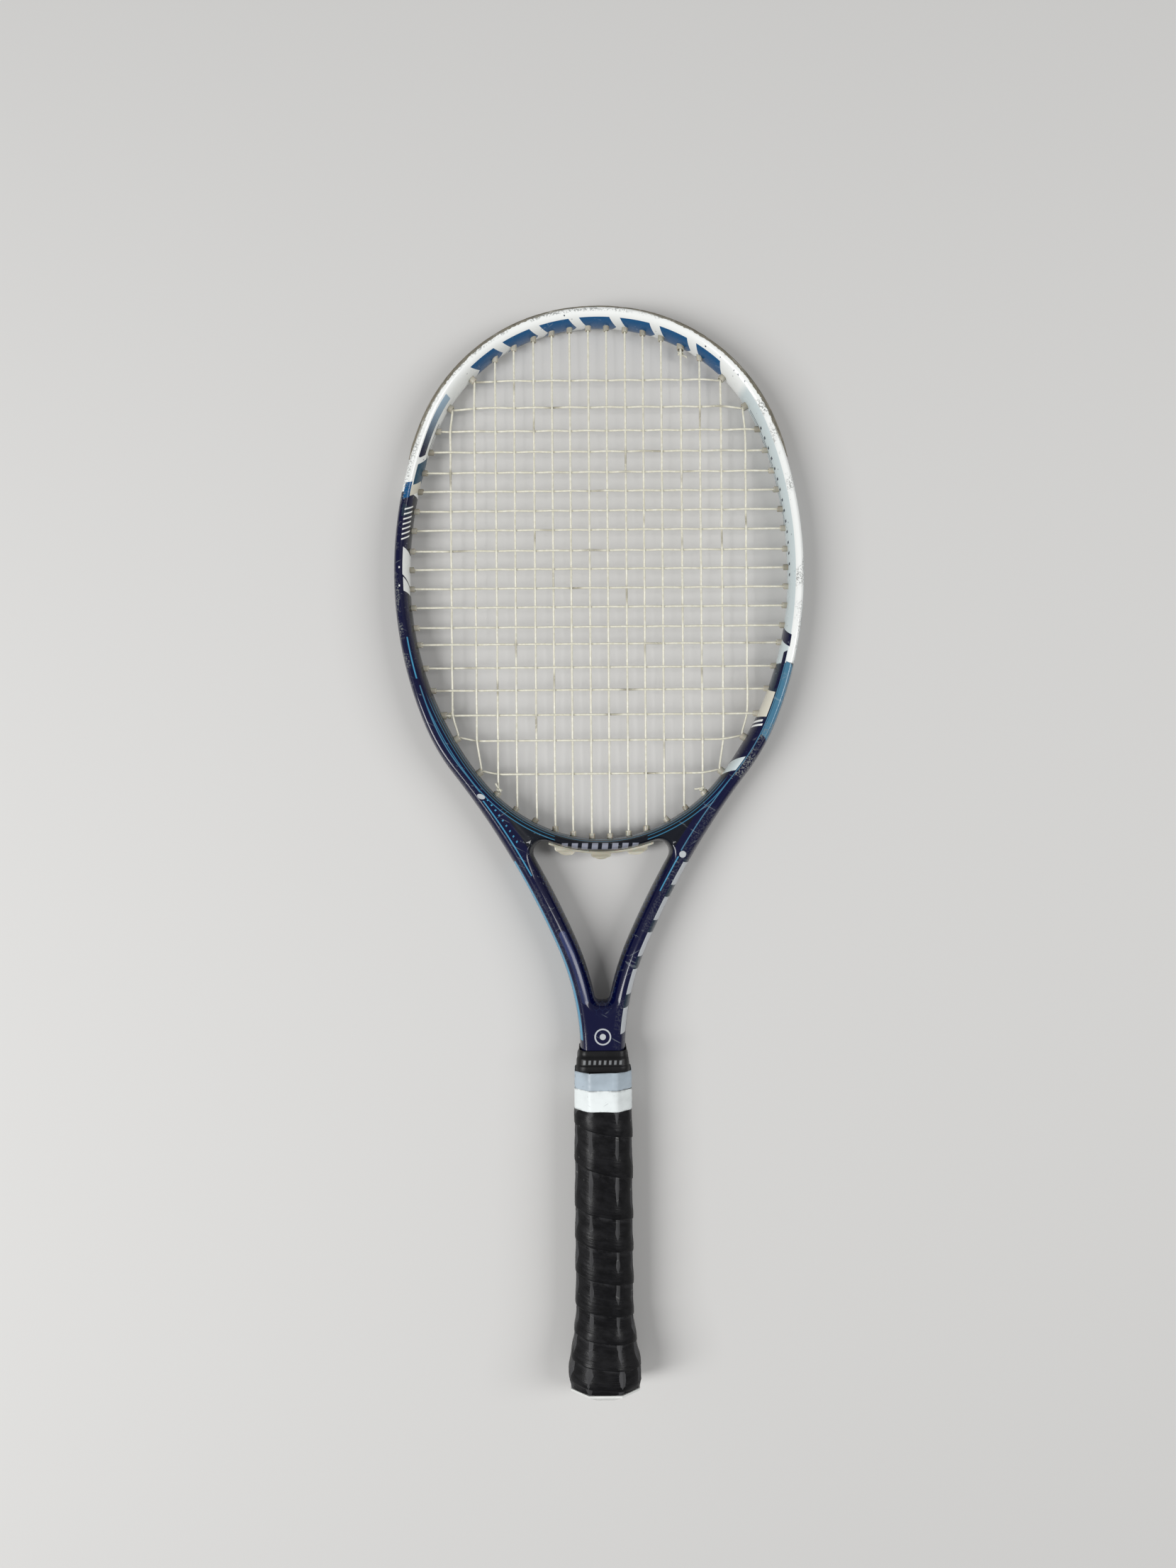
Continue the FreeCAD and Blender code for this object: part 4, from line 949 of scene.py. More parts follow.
def make_overgrip(material):
    """The wound overgrip. Its rows run along the winding's edges, so each edge is sharp: a
    turn stands thick just above its edge and thins upwards over the turn below."""
    phase = np.concatenate([[0.0, 0.008, 0.02, 0.045], np.linspace(0.08, 0.97, 22)])
    turns = np.arange(len(WRAP_EDGES) - 1)
    winding = (turns[:, None] + phase[None, :]).ravel()
    winding = np.append(winding, turns[-1] + 1.0)[:, None]
    column = np.arange(AROUND + 1)[None, :]
    share = column / AROUND
    marks = np.arange(len(WRAP_EDGES))
    y = np.interp(winding - share, marks, WRAP_EDGES)
    inside = (y > GRIP_FOOT_Y) & (y < GRIP_TOP_Y)
    y = np.clip(y, GRIP_FOOT_Y, GRIP_TOP_Y)
    recovered = np.interp(y, WRAP_EDGES, marks) + share
    turn = np.where(inside, winding, recovered)
    phase = np.mod(turn + 1e-9, 1.0)
    thick = np.interp(phase, (0, 0.008, 0.02, 0.045, 0.06), (0, 0.36, 0.5, 0.56, 0.56))
    thick = thick * (1 - smooth(phase, 0.12, 0.62))
    thick = thick * (1 - smooth(y, 178, 183))
    pressed = 0.4 * smooth(y, TAPE_FOOT_Y - 1.2, TAPE_FOOT_Y + 0.2)
    ends = np.minimum(y - GRIP_FOOT_Y, GRIP_TOP_Y - y) / 0.9
    rolled = 0.7 * (1 - np.sqrt(1 - (1 - np.clip(ends, 0, 1)) ** 2))
    angle = 2 * np.pi * share
    ripple = 0.07 * np.sin(3 * angle + y * 0.23) * np.sin(y * 0.41 + 1.7)
    ripple = ripple + 0.05 * np.sin(7 * angle - y * 0.31 + 2 * np.sin(y * 0.05))
    width = core_half_width(y) + BASE_GRIP + GRIP_SKIN - 0.3
    width = width + thick - pressed - rolled + ripple * (1 - smooth(y, 178, 183))
    points = octagon_points(width, y, np.broadcast_to(column, y.shape))
    trace = np.stack([turn, thick, angle + 0 * y], -1)
    shape = Shape()
    shape.grid(points, trace)
    levels = np.array([GRIP_TOP_Y, 182, 120, 60, 48, 42, 34, 27.3, 20.6, 14, GRIP_FOOT_Y])[:, None]
    inner = core_half_width(levels) + BASE_GRIP + 0.03 + 0 * share
    inner_points = octagon_points(inner, levels, np.broadcast_to(column, inner.shape))
    inner_points = np.concatenate([points[-1:], inner_points, points[:1]])
    shape.grid(inner_points, np.repeat(trace[:1] * 0 + 0.5, len(inner_points), 0))
    return shape.piece("overgrip_wound", merge=0.01, sharp=55, material=material)


def tape_band(name, material, low, high, half_width, slant, lap_at):
    """A turn of tape: a thin band whose edges slant and creep, with the edge of its outer
    end standing up across it at lap_at, a share of the way round."""
    share = np.arange(AROUND) / AROUND
    angle = 2 * np.pi * share
    skew = slant * np.cos(angle)
    up = np.linspace(0, 1, TAPE_ROWS)[:, None]
    y = mix(low + 0.12 * np.sin(5 * angle), high + 0.12 * np.sin(4 * angle + 1), up)
    y = y + skew[None, :] * np.sin(np.pi * (0.15 + 0.7 * up))
    past_lap = np.mod(share - lap_at, 1.0)
    lap = 0.16 * smooth(past_lap, 0.0, 0.007) * (1 - smooth(past_lap, 0.17, 0.22))
    crease = 0.05 * np.sin(9 * angle + 14 * up) * np.sin(2 * angle + 5 * up)
    crease = crease + 0.09 * np.exp(-((np.mod(angle - 2.2, 2 * np.pi) - 1.4 * up) / 0.09) ** 2)
    width = half_width + lap[None, :] * 0.8 + crease - 0.08
    edge = np.minimum(up, 1 - up) * (high - low) / 0.35
    width = width - 0.16 * (1 - np.sqrt(1 - (1 - np.clip(edge, 0, 1)) ** 2))
    column = np.broadcast_to(np.arange(AROUND)[None, :], y.shape)
    outer = octagon_points(width, y, column, FIRM_OCTAGON)
    ends = slice(None, None, 1 - TAPE_ROWS)
    inner = octagon_points(np.full(y[ends].shape, half_width - 0.28), y[ends], column[:2],
                           FIRM_OCTAGON)
    trace = np.zeros(outer.shape)
    trace[..., 0], trace[..., 1] = share[None, :], up
    shape = Shape()
    shape.grid(np.concatenate([outer, inner]), np.concatenate([trace, trace[ends]]),
               round_rows=True, round_cols=True)
    return shape.piece(name, sharp=50, material=material)


COLLAR_FOOT_Y = 206.3


def make_collar(material):
    """The rubber collar: round-cornered rectangles up its outside and down its bore. Its rim
    carries a bead at the foot and a shallow panel above it."""
    outside = [(0, 16.2, 14.6), (0.25, 16.55, 14.95), (0.8, 16.7, 15.1), (3.3, 16.7, 15.1),
               (3.8, 16.6, 15.0), (4.1, 16.35, 14.75), (4.5, 16.25, 14.65), (7.8, 16.1, 14.5),
               (8.4, 15.95, 14.35), (9.4, 15.4, 13.8), (10.4, 15.1, 13.5), (11.0, 15.05, 13.45),
               (12.8, 15.0, 13.4), (13.1, 14.85, 13.25), (13.2, 14.6, 13.0)]
    inside = [(13.2, 14.5, 12.9), (0, 14.5, 12.9)]
    rows = []
    for up, w, h in outside + inside:
        section = rounded_section(w, h, 4.6 + (w - 14.5) * 0.8, 12)
        rows.append(np.insert(section, 1, COLLAR_FOOT_Y + up, axis=1))
    shape = Shape()
    shape.grid(np.array(rows), round_rows=True, round_cols=True)
    return shape.piece("collar_rubber", sharp=40, material=material)


LABEL_Y = (247.0, 291.0)
LABEL_INSET = (4.6, 9.2)


def make_label(material):
    """The blank label: a round-ended strip laid on the left shaft, a tenth of a mm thick."""
    start, end = outline_length(LABEL_Y[1]), outline_length(LABEL_Y[0])
    half = (LABEL_INSET[1] - LABEL_INSET[0]) / 2
    angle = np.linspace(0, np.pi / 2, 9)[:-1]
    bow = np.concatenate([start + half * (1 - np.cos(angle)), even(start + half, end - half, 1.5),
                          (end - half * (1 - np.cos(angle)))[::-1]])
    from_end = np.minimum(bow - start, end - bow)
    reach = half * np.sqrt(1 - (1 - np.clip(from_end / half, 0, 1)) ** 2)
    across = np.linspace(-1, 1, 9)
    depth = LABEL_INSET[0] + half + reach[:, None] * across[None, :]
    edge, heading = OUTER.place(bow), OUTER.direction(bow)[1]
    plan = edge[:, None] - left_of(heading)[:, None] * depth[..., None]
    height = frame_height(plan)[..., None]
    top = np.concatenate([plan, height + 0.12], -1) * (-1, 1, 1)
    low = np.concatenate([plan, height + 0.01], -1) * (-1, 1, 1)
    loop = np.concatenate([top, low[:, ::-1]], 1)
    trace = np.zeros(loop.shape)
    trace[..., 0] = bow[:, None]
    shape = Shape()
    shape.grid(loop, trace, round_cols=True, caps=True)
    return shape.piece("label_strip", merge=0.002, sharp=60, material=material)


# ---- node graphs ----------------------------------------------------------------------------
def srgb(red, green, blue):
    """A colour given as 0 to 255 on screen, as the linear colour that a shader takes."""
    share = np.array([red, green, blue]) / 255
    linear = np.where(share < 0.04045, share / 12.92, ((share + 0.055) / 1.055) ** 2.4)
    return (*linear.tolist(), 1.0)


NAVY = srgb(4, 7, 46)
TEAL = srgb(0, 76, 124)
DEEP_TEAL = srgb(22, 68, 92)
SLATE = srgb(26, 42, 58)
DARK = srgb(10, 14, 24)
# The steel and stripe colours below are paint, and they also colour the painted highlight lines
# along the ridge.
STEEL_AND_RIDGE_HIGHLIGHT = srgb(66, 112, 138)
STRIPE_AND_RIDGE_HIGHLIGHT = srgb(64, 136, 170)
DEEP_STRIPE = srgb(50, 108, 138)
SKY = srgb(150, 172, 190)
WHITE = srgb(230, 232, 230)
PALE = srgb(194, 205, 207)
BEIGE = srgb(208, 204, 190)
SILVER = srgb(176, 180, 184)
TAUPE = srgb(122, 117, 102)


class Graph:
    """Short ways to add nodes to one tree and wire them up."""

    def __init__(self, tree):
        self.tree = tree

    def give(self, socket, value):
        """Links a socket to another one, or sets it to a value."""
        if isinstance(value, bpy.types.NodeSocket):
            self.tree.links.new(value, socket)
        else:
            socket.default_value = value

    def node(self, kind, inputs=None, **settings):
        """A node of a kind, with its settings, and its inputs given as values or sockets."""
        node = self.tree.nodes.new("ShaderNode" + kind)
        for name, value in settings.items():
            setattr(node, name, value)
        for name, value in (inputs or {}).items():
            self.give(node.inputs[name], value)
        return node

    def maths(self, operation, *values):
        return self.node("Math", dict(enumerate(values)), operation=operation).outputs[0]

    def blend(self, share, a, b):
        """Colour a, turning to b as share goes from 0 to 1."""
        return self.node("Mix", {0: share, 6: a, 7: b}, data_type="RGBA").outputs[2]

    def step(self, value, low, high, start=0.0, end=1.0):
        """The smooth step from start to end as value goes from low to high."""
        inputs = {0: value, 1: low, 2: high, 3: start, 4: end}
        return self.node("MapRange", inputs, interpolation_type="SMOOTHSTEP").outputs[0]

    def band(self, value, low, high, soft):
        """1 between low and high and 0 outside, softly."""
        up = self.step(value, low - soft, low + soft)
        down = self.step(value, high - soft, high + soft, 1.0, 0.0)
        return self.maths("MULTIPLY", up, down)

    def noise(self, place, scale, detail=3.0, roughness=0.5):
        inputs = {"Vector": place, "Scale": scale, "Detail": detail, "Roughness": roughness}
        return self.node("TexNoise", inputs).outputs["Fac"]

    def stretch(self, place, scale):
        """A place with each of its axes scaled."""
        inputs = {0: place, 1: scale}
        return self.node("VectorMath", inputs, operation="MULTIPLY").outputs[0]

    def trace(self):
        """The piece's own attribute: lengths along it and across it."""
        return self.node("Attribute", attribute_name="trace").outputs["Vector"]

    def axes(self, vector):
        return self.node("SeparateXYZ", {0: vector}).outputs

    def group(self, tree, inputs):
        node = self.tree.nodes.new("ShaderNodeGroup")
        node.node_tree = tree
        for name, value in inputs.items():
            self.give(node.inputs[name], value)
        return node.outputs


def new_group(name, inputs, outputs):
    """A node group with sockets of the given kinds, its graph, its inputs and its exit."""
    tree = bpy.data.node_groups.new(name, "ShaderNodeTree")
    for label, kind in inputs.items():
        tree.interface.new_socket(label, in_out="INPUT", socket_type="NodeSocket" + kind)
    for label in outputs:
        tree.interface.new_socket(label, in_out="OUTPUT", socket_type="NodeSocketFloat")
    entry = tree.nodes.new("NodeGroupInput")
    leave = tree.nodes.new("NodeGroupOutput")
    return tree, Graph(tree), entry.outputs, leave.inputs


def mark_group():
    """A painted mark: 1 where U is between two ends, which slant with V, and V is between
    its low and high edges."""
    names = ("U", "V", "Start", "End", "Low", "High", "Slant Start", "Slant End", "Soft")
    tree, g, given, out = new_group("painted_mark", dict.fromkeys(names, "Float"), ["Mask"])
    past = g.maths("SUBTRACT", given["V"], given["Low"])
    start = g.maths("MULTIPLY_ADD", past, given["Slant Start"], given["Start"])
    end = g.maths("MULTIPLY_ADD", past, given["Slant End"], given["End"])
    gaps = [g.maths("SUBTRACT", given["U"], start), g.maths("SUBTRACT", end, given["U"]), past,
            g.maths("SUBTRACT", given["High"], given["V"])]
    least = gaps[0]
    for gap in gaps[1:]:
        least = g.maths("MINIMUM", least, gap)
    share = g.maths("DIVIDE", least, given["Soft"])
    g.tree.links.new(g.step(share, -0.5, 0.5), out["Mask"])
    return tree


def hex_group():
    """A honeycomb of lines. The plane is cut into two lattices of rectangles, one shifted by
    half a cell: the nearer lattice's centre is the cell's, and the line stands where the
    hexagon's distance from it comes to half a cell."""
    tree, g, given, out = new_group("honeycomb", {"Place": "Vector"}, ["Lines"])
    cell = (1.0, math.sqrt(3), 1.0)
    distances = []
    for shift in ((0.0, 0.0, 0.0), (0.5, math.sqrt(3) / 2, 0.0)):
        moved = g.node("VectorMath", {0: given["Place"], 1: shift}, operation="ADD").outputs[0]
        inside = g.node("VectorMath", {0: moved, 1: cell, 2: (0, 0, 0)}, operation="WRAP")
        centred = g.node("VectorMath", {0: inside.outputs[0], 1: (-0.5, -cell[1] / 2, 0)},
                         operation="ADD").outputs[0]
        x, y, _ = g.axes(g.node("VectorMath", {0: centred}, operation="ABSOLUTE").outputs[0])
        slant = g.maths("MULTIPLY_ADD", x, 0.5, g.maths("MULTIPLY", y, math.sqrt(3) / 2))
        distances.append(g.maths("MAXIMUM", x, slant))
    nearest = g.maths("MINIMUM", *distances)
    g.tree.links.new(g.step(nearest, 0.43, 0.47), out["Lines"])
    return tree


def wear_group():
    """Wear: fine scratches from stretched noise, small specks, and broad cloudy dirt."""
    names = {"Place": "Vector", "Size": "Float"}
    tree, g, given, out = new_group("wear", names, ["Scratches", "Specks", "Clouds", "Grain"])
    place = g.node("VectorMath", {0: given["Place"], "Scale": given["Size"]}, operation="SCALE")
    place = place.outputs[0]
    lines = []
    for turn, reach in ((0.5, (30, 700, 300)), (1.9, (640, 26, 300)), (2.6, (45, 800, 200))):
        turned = g.node("VectorRotate", {"Vector": place, "Angle": turn}, rotation_type="Z_AXIS")
        streak = g.noise(g.stretch(turned.outputs[0], reach), 1.0, 1.0)
        rare = g.noise(place, 60.0 + reach[0], 1.0)
        lines.append(g.maths("MULTIPLY", g.step(streak, 0.68, 0.74), g.step(rare, 0.5, 0.62)))
    scratches = g.maths("MAXIMUM", g.maths("MAXIMUM", lines[0], lines[1]), lines[2])
    dots = g.node("TexVoronoi", {"Vector": place, "Scale": 210.0}).outputs["Distance"]
    specks = g.maths("MULTIPLY", g.step(dots, 0.08, 0.16, 1.0, 0.0),
                     g.step(g.noise(place, 90.0, 1.0), 0.56, 0.66))
    for name, value in (("Scratches", scratches), ("Specks", specks),
                        ("Clouds", g.noise(place, 34.0, 4.0, 0.6)),
                        ("Grain", g.noise(place, 1500.0, 2.0))):
        g.tree.links.new(value, out[name])
    return tree


def start_material(name):
    """A new material's graph, with its shader and its wear."""
    material = bpy.data.materials.new(name)
    material.use_nodes = True
    material.node_tree.nodes.clear()
    g = Graph(material.node_tree)
    shader = g.node("BsdfPrincipled")
    out = g.node("OutputMaterial", {"Surface": shader.outputs[0]})
    out.is_active_output = True
    place = g.node("TexCoord").outputs["Object"]
    tree = bpy.data.node_groups.get("wear") or wear_group()
    wear = g.group(tree, {"Place": place, "Size": 1.0})
    return material, g, shader, place, wear


def patchy(g, wear, low, high):
    """A value that drifts from low to high with the cloudy wear."""
    return g.step(wear["Clouds"], 0.3, 0.7, low, high)


def dress(g, shader, height=None, depth=0.0, **sockets):
    """Gives the shader its sockets, values or links, and its bump in mm."""
    for name, value in sockets.items():
        g.give(shader.inputs[name.replace("_", " ")], value)
    if height is not None:
        bump = g.node("Bump", {"Height": height, "Distance": depth * MM, "Strength": 1.0})
        g.tree.links.new(bump.outputs[0], shader.inputs["Normal"])


def paint_marks(g, colour, u, v, marks, soft=0.25):
    """Lays marks over a colour, one after another. A mark is where it starts and ends along
    u, its low and high edges across v, the slants of its two ends, and its colour."""
    tree = bpy.data.node_groups.get("painted_mark") or mark_group()
    for start, end, low, high, slant_start, slant_end, tint in marks:
        inputs = {"U": u, "V": v, "Start": start, "End": end, "Low": low, "High": high,
                  "Slant Start": slant_start, "Slant End": slant_end, "Soft": soft}
        colour = g.blend(g.group(tree, inputs)["Mask"], colour, tint)
    return colour


# ---- the frame's paint: each mark by its place round the outline and across the beam ---------
def row_of_marks(count, pitch, start, length, low, high, slant, colour):
    """Marks of one shape and colour, one every pitch along the row."""
    return [(start + pitch * k, start + length + pitch * k, low, high, slant, slant, colour)
            for k in range(count)]


# The painted marks: start, end, low, high, the slants of the two ends, and the colour, in mm.
# The bridge's and the collar's are placed by X and Y, the others along the outline and across.
# The thin lines just inside the ridge, on the hoop's sides and down the shafts, are painted
# highlights.
CROWN_MARKS = [
    (-21.9, -20.9, 1.9, 2.8, 0.3, 0.0, SLATE), (87.2, 87.9, 2.3, 3.1, 0.4, 0.0, SLATE),
    (75.0, 76.0, 2.6, 3.4, 0.0, 0.3, SLATE), (99.5, 100.3, 2.0, 3.0, 0.4, 0.2, SLATE),
    (103.3, 104.5, 2.0, 2.9, 0.0, 0.4, SLATE), (109.5, 110.7, 1.5, 2.4, 0.5, 0.0, SLATE),
] + row_of_marks(7, 27.0, -93.0, 20.0, 4.8, 16.0, 0.5, TEAL)
SHOULDER_MARKS = [
    (-163.0, -135.0, 13.2, 14.2, 0.0, 0.0, DARK), (-182.0, -166.5, 4.5, 16.0, 0.3, 0.75, DEEP_TEAL),
    (-165.9, -163.2, 3.0, 16.0, 0.76, 0.76, WHITE),
    (-187.6, -180.6, 3.6, 16.0, 0.55, 0.55, BEIGE), (-190.5, -180.2, -0.6, 3.5, 0.5, 0.5, TEAL),
    (-201.4, -193.0, 0.2, 6.2, 0.2, -0.3, SLATE), (-238.0, -220.4, 3.4, 16.0, -0.63, -0.33, WHITE),
    # The thin line from -305 to -278 just inside the ridge is a painted highlight.
    (-248.3, -239.6, 3.9, 13.8, -0.2, -0.62, WHITE), (-305.0, -278.0, 2.1, 3.0, 0.0, 0.0, STRIPE_AND_RIDGE_HIGHLIGHT),
    (-234.4, -233.2, 0.8, 1.6, 0.3, 0.0, WHITE), (-245.9, -244.9, 0.7, 1.5, 0.0, 0.3, WHITE),
] + row_of_marks(7, 3.2, -216.4, 1.0, 1.8, 9.5, 0.5, WHITE)
RIGHT_MARKS = [
    (126.0, 206.0, 13.4, 14.3, 0.0, 0.0, SLATE), (278.3, 286.1, 2.7, 16.0, -0.49, -0.52, NAVY),
    (288.5, 313.0, 3.6, 6.6, 0.3, 0.3, NAVY), (299.0, 349.0, -4.2, 2.9, -0.5, -0.6, STEEL_AND_RIDGE_HIGHLIGHT),
    (303.4, 313.5, 7.2, 13.0, 0.2, 0.1, SLATE), (315.8, 332.6, 4.6, 18.5, -0.2, 0.0, BEIGE),
    (334.4, 335.9, 6.0, 18.0, 0.12, 0.12, WHITE), (337.4, 338.8, 5.0, 17.0, 0.12, 0.12, WHITE),
    (361.4, 372.0, 4.3, 18.5, 0.35, 0.3, PALE),
    # The thin line from 297 to 434 just inside the ridge is a painted highlight.
    (297.0, 434.0, 3.1, 3.8, 0.0, 0.0, STEEL_AND_RIDGE_HIGHLIGHT),
] + row_of_marks(15, 7.0, 140.0, 1.7, 9.8, 12.4, 0.15, SLATE)
SHAFT_MARKS = [
    (437.0, 548.0, -9.0, -1.2, 0.0, 0.0, SLATE), (-557.0, -437.0, -9.0, -3.7, 0.0, 0.0, STRIPE_AND_RIDGE_HIGHLIGHT),
    # The thin lines just inside the ridge, from -450 to -300 on the left and from 297 to 462 on the
    # right, are painted highlights, broken by the discs.
    (-388.0, -300.0, 2.9, 3.7, 0.0, 0.0, STEEL_AND_RIDGE_HIGHLIGHT), (-450.0, -394.5, 0.9, 1.7, 0.0, 0.0, STRIPE_AND_RIDGE_HIGHLIGHT),
    (297.0, 434.0, 3.1, 3.8, 0.0, 0.0, STEEL_AND_RIDGE_HIGHLIGHT), (438.0, 462.0, 2.6, 3.4, 0.0, 0.0, STRIPE_AND_RIDGE_HIGHLIGHT),
] + row_of_marks(9, 4.1, -428.0, 1.0, 3.6, 4.8, 0.3, STRIPE_AND_RIDGE_HIGHLIGHT)
SHAFT_MARKS += row_of_marks(5, 24.4, 438.0, 16.0, -8.6, -1.4, 0.2, SILVER)
BRIDGE_STRIPES = ((5.4, 6.4), (8.8, 9.5), (11.3, 11.9), (13.8, 14.4))
BRIDGE_BARS = row_of_marks(8, 6.3, -25.0, 3.8, 344.7, 348.7, 0.12, srgb(128, 131, 144))
COLLAR_BARS = row_of_marks(8, 3.2, -12.4, 1.5, 211.2, 213.8, 0.1, srgb(112, 114, 116))
DISCS = ((-391.2, 2.0, 2.1), (435.6, 1.4, 2.1))
NECK_RING = (0.0, 228.0, 5.2)


def disc(g, u, v, at_u, at_v, radius):
    """1 within a radius of a point."""
    across = g.maths("POWER", g.maths("SUBTRACT", u, at_u), 2.0)
    up = g.maths("POWER", g.maths("SUBTRACT", v, at_v), 2.0)
    far = g.maths("SQRT", g.maths("ADD", across, up))
    return g.step(far, radius - 0.15, radius + 0.15, 1.0, 0.0)


def paint_zones(g, s, q):
    """The broad fields of colour round the frame, and the stripe that fades on the left."""
    colour = g.blend(g.step(s, 109.0, 117.0), WHITE, PALE)
    colour = g.blend(g.maths("MULTIPLY", g.step(s, 105, 112), g.band(q, -3.0, 3.3, 0.2)),
                     colour, WHITE)
    flank = g.step(g.maths("ABSOLUTE", s), 508.0, 536.0, 1.0, 0.0)
    inner = g.blend(g.maths("MULTIPLY", g.step(q, 7.6, 8.2), flank), NAVY, DARK)
    slate = g.blend(g.step(s, 300.0, 345.0), SLATE, NAVY)
    colour = g.blend(g.step(s, 296.0, 297.0), colour, slate)
    colour = g.blend(g.step(s, 356.0, 376.0), colour, inner)
    colour = g.blend(g.step(s, -186.0, -185.6, 1.0, 0.0), colour, inner)
    fade = g.blend(g.step(s, -160.0, -118.0), NAVY, SKY)
    stripe = g.maths("MULTIPLY", g.band(s, -162.0, -117.0, 0.4), g.band(q, 3.4, 9.3, 0.2))
    return g.blend(stripe, colour, fade)


def lower_paint(g, colour, place, s, q, w):
    """The bridge's stripes and bars, the shafts' discs and honeycomb, and the neck's ring."""
    x, y, _ = g.axes(g.stretch(place, (1000, 1000, 1000)))
    low = g.maths("MAXIMUM", g.step(s, 376.0, 384.0), g.step(s, -326.0, -312.0, 1.0, 0.0))
    far_out = g.step(g.maths("ABSOLUTE", x), 28.5, 29.5)
    for number, (start, end) in enumerate(BRIDGE_STRIPES):
        mask = g.maths("MULTIPLY", g.band(w, start, end, 0.12), low)
        if number > 1:
            mask = g.maths("MULTIPLY", mask, far_out)
        colour = g.blend(mask, colour, DEEP_STRIPE)
    colour = paint_marks(g, colour, x, y, BRIDGE_BARS)
    for at_s, at_q, radius in DISCS:
        colour = g.blend(disc(g, s, q, at_s, at_q, radius), colour, SILVER)
    comb = bpy.data.node_groups.get("honeycomb") or hex_group()
    lines = g.group(comb, {"Place": g.stretch(place, (260, 260, 0))})["Lines"]
    shaded = g.maths("MULTIPLY", g.band(y, 246.0, 333.0, 8.0), g.step(q, 6.0, 8.0, 0.0, 0.75))
    colour = g.blend(g.maths("MULTIPLY", lines, shaded), colour, srgb(34, 50, 84))
    at_x, at_y, radius = NECK_RING
    ring = g.maths("SUBTRACT", disc(g, x, y, at_x, at_y, radius),
                   disc(g, x, y, at_x, at_y, radius - 0.9))
    return g.blend(g.maths("MAXIMUM", ring, disc(g, x, y, at_x, at_y, 1.9)), colour, SILVER)


def frame_paint(name, settings, marks, worn, lower=False):
    """The clear-coated paint over one stretch of the frame, with that stretch's marks."""
    material, g, shader, place, wear = start_material(name)
    trace = g.axes(g.trace())
    s = g.maths("MULTIPLY", trace[0], g.maths("SIGN", g.axes(place)[0]))
    q, w = trace[1], trace[2]
    colour = paint_marks(g, paint_zones(g, s, q), s, q, marks)
    if lower:
        colour = lower_paint(g, colour, place, s, q, w)
    tattered = g.maths("MULTIPLY_ADD", g.noise(place, 500.0, 3.0), 2.4, q)
    rubbed = g.maths("MULTIPLY", g.step(tattered, 0.5, 0.9, 1.0, 0.0),
                     g.band(g.maths("ABSOLUTE", s), 30.0, 152.0, 14.0))
    colour = g.blend(g.maths("MULTIPLY", rubbed, min(worn, 1.0)), colour, TAUPE)
    wide = g.maths("MULTIPLY", g.step(s, 112, 130), g.band(q, -12.0, 3.2, 0.5))
    rough_edge = g.maths("MAXIMUM", g.band(q, -12.0, 0.9, 0.8), wide)
    rough_edge = g.maths("MULTIPLY", rough_edge, g.step(wear["Clouds"], 0.44, 0.54))
    chipped = g.step(g.noise(place, 900.0, 4.0), 0.48, 0.57, 0.0, worn)
    scuffs = g.maths("MULTIPLY", rough_edge, chipped)
    colour = g.blend(g.maths("MULTIPLY", scuffs, 0.75), colour, srgb(120, 124, 122))
    colour = g.blend(g.maths("MULTIPLY", wear["Scratches"], 0.13), colour, PALE)
    colour = g.blend(g.maths("MULTIPLY", wear["Specks"], 0.4), colour, SLATE)
    rough = g.maths("MULTIPLY_ADD", scuffs, 0.35, patchy(g, wear, 0.22, 0.34))
    dress(g, shader, wear["Grain"], 0.006, Base_Color=colour, Roughness=rough,
          Coat_Weight=settings.coat, Coat_Roughness=0.06, Specular_IOR_Level=0.1)
    return material


# Where each stretch of paint begins, going round the outline from the left shaft's foot.
STRETCHES = (-308.0, -112.5, 112.5, 375.0)


def frame_paints(settings):
    """The paint of the stretches, left to right: shaft, shoulder, crown, side and shaft."""
    lower = frame_paint("paint_shafts", settings, SHAFT_MARKS, 0.15, True)
    return (lower, frame_paint("paint_shoulder", settings, SHOULDER_MARKS, 0.8),
            frame_paint("paint_crown", settings, CROWN_MARKS, 1.0),
            frame_paint("paint_side", settings, RIGHT_MARKS, 1.0), lower)


def lay_paints(shell, paints):
    """Gives each face of the frame the paint of its stretch."""
    mesh = shell.data
    trace = np.empty(len(mesh.vertices) * 3)
    mesh.attributes["trace"].data.foreach_get("vector", trace)
    first = np.empty(len(mesh.polygons), int)
    mesh.polygons.foreach_get("loop_start", first)
    corner = np.empty(len(mesh.loops), int)
    mesh.loops.foreach_get("vertex_index", corner)
    centre = np.empty(len(mesh.polygons) * 3)
    mesh.polygons.foreach_get("center", centre)
    s = trace[::3][corner[first]] * np.sign(centre[::3])
    mesh.materials.clear()
    for paint in paints:
        mesh.materials.append(paint)
    stretch = np.searchsorted(STRETCHES, s)
    mesh.polygons.foreach_set("material_index", stretch.astype(np.int32))


def tang_carbon():
    """Bare woven carbon: two sets of tows, over and under by turns."""
    material, g, shader, place, wear = start_material("tang_carbon")
    x, y, _ = g.axes(g.stretch(place, (500, 500, 500)))
    over = g.node("TexChecker", {"Vector": place, "Scale": 500.0}).outputs["Fac"]
    ribs = [g.maths("SINE", g.maths("MULTIPLY", axis, 12.6)) for axis in (x, y)]
    tow = g.node("Mix", {0: over, 2: ribs[0], 3: ribs[1]}).outputs[0]
    colour = g.blend(g.step(tow, -1, 1), srgb(16, 17, 19), srgb(46, 48, 52))
    dress(g, shader, tow, 0.05, Base_Color=colour, Coat_Weight=0.5,
          Roughness=patchy(g, wear, 0.3, 0.45))
    return material


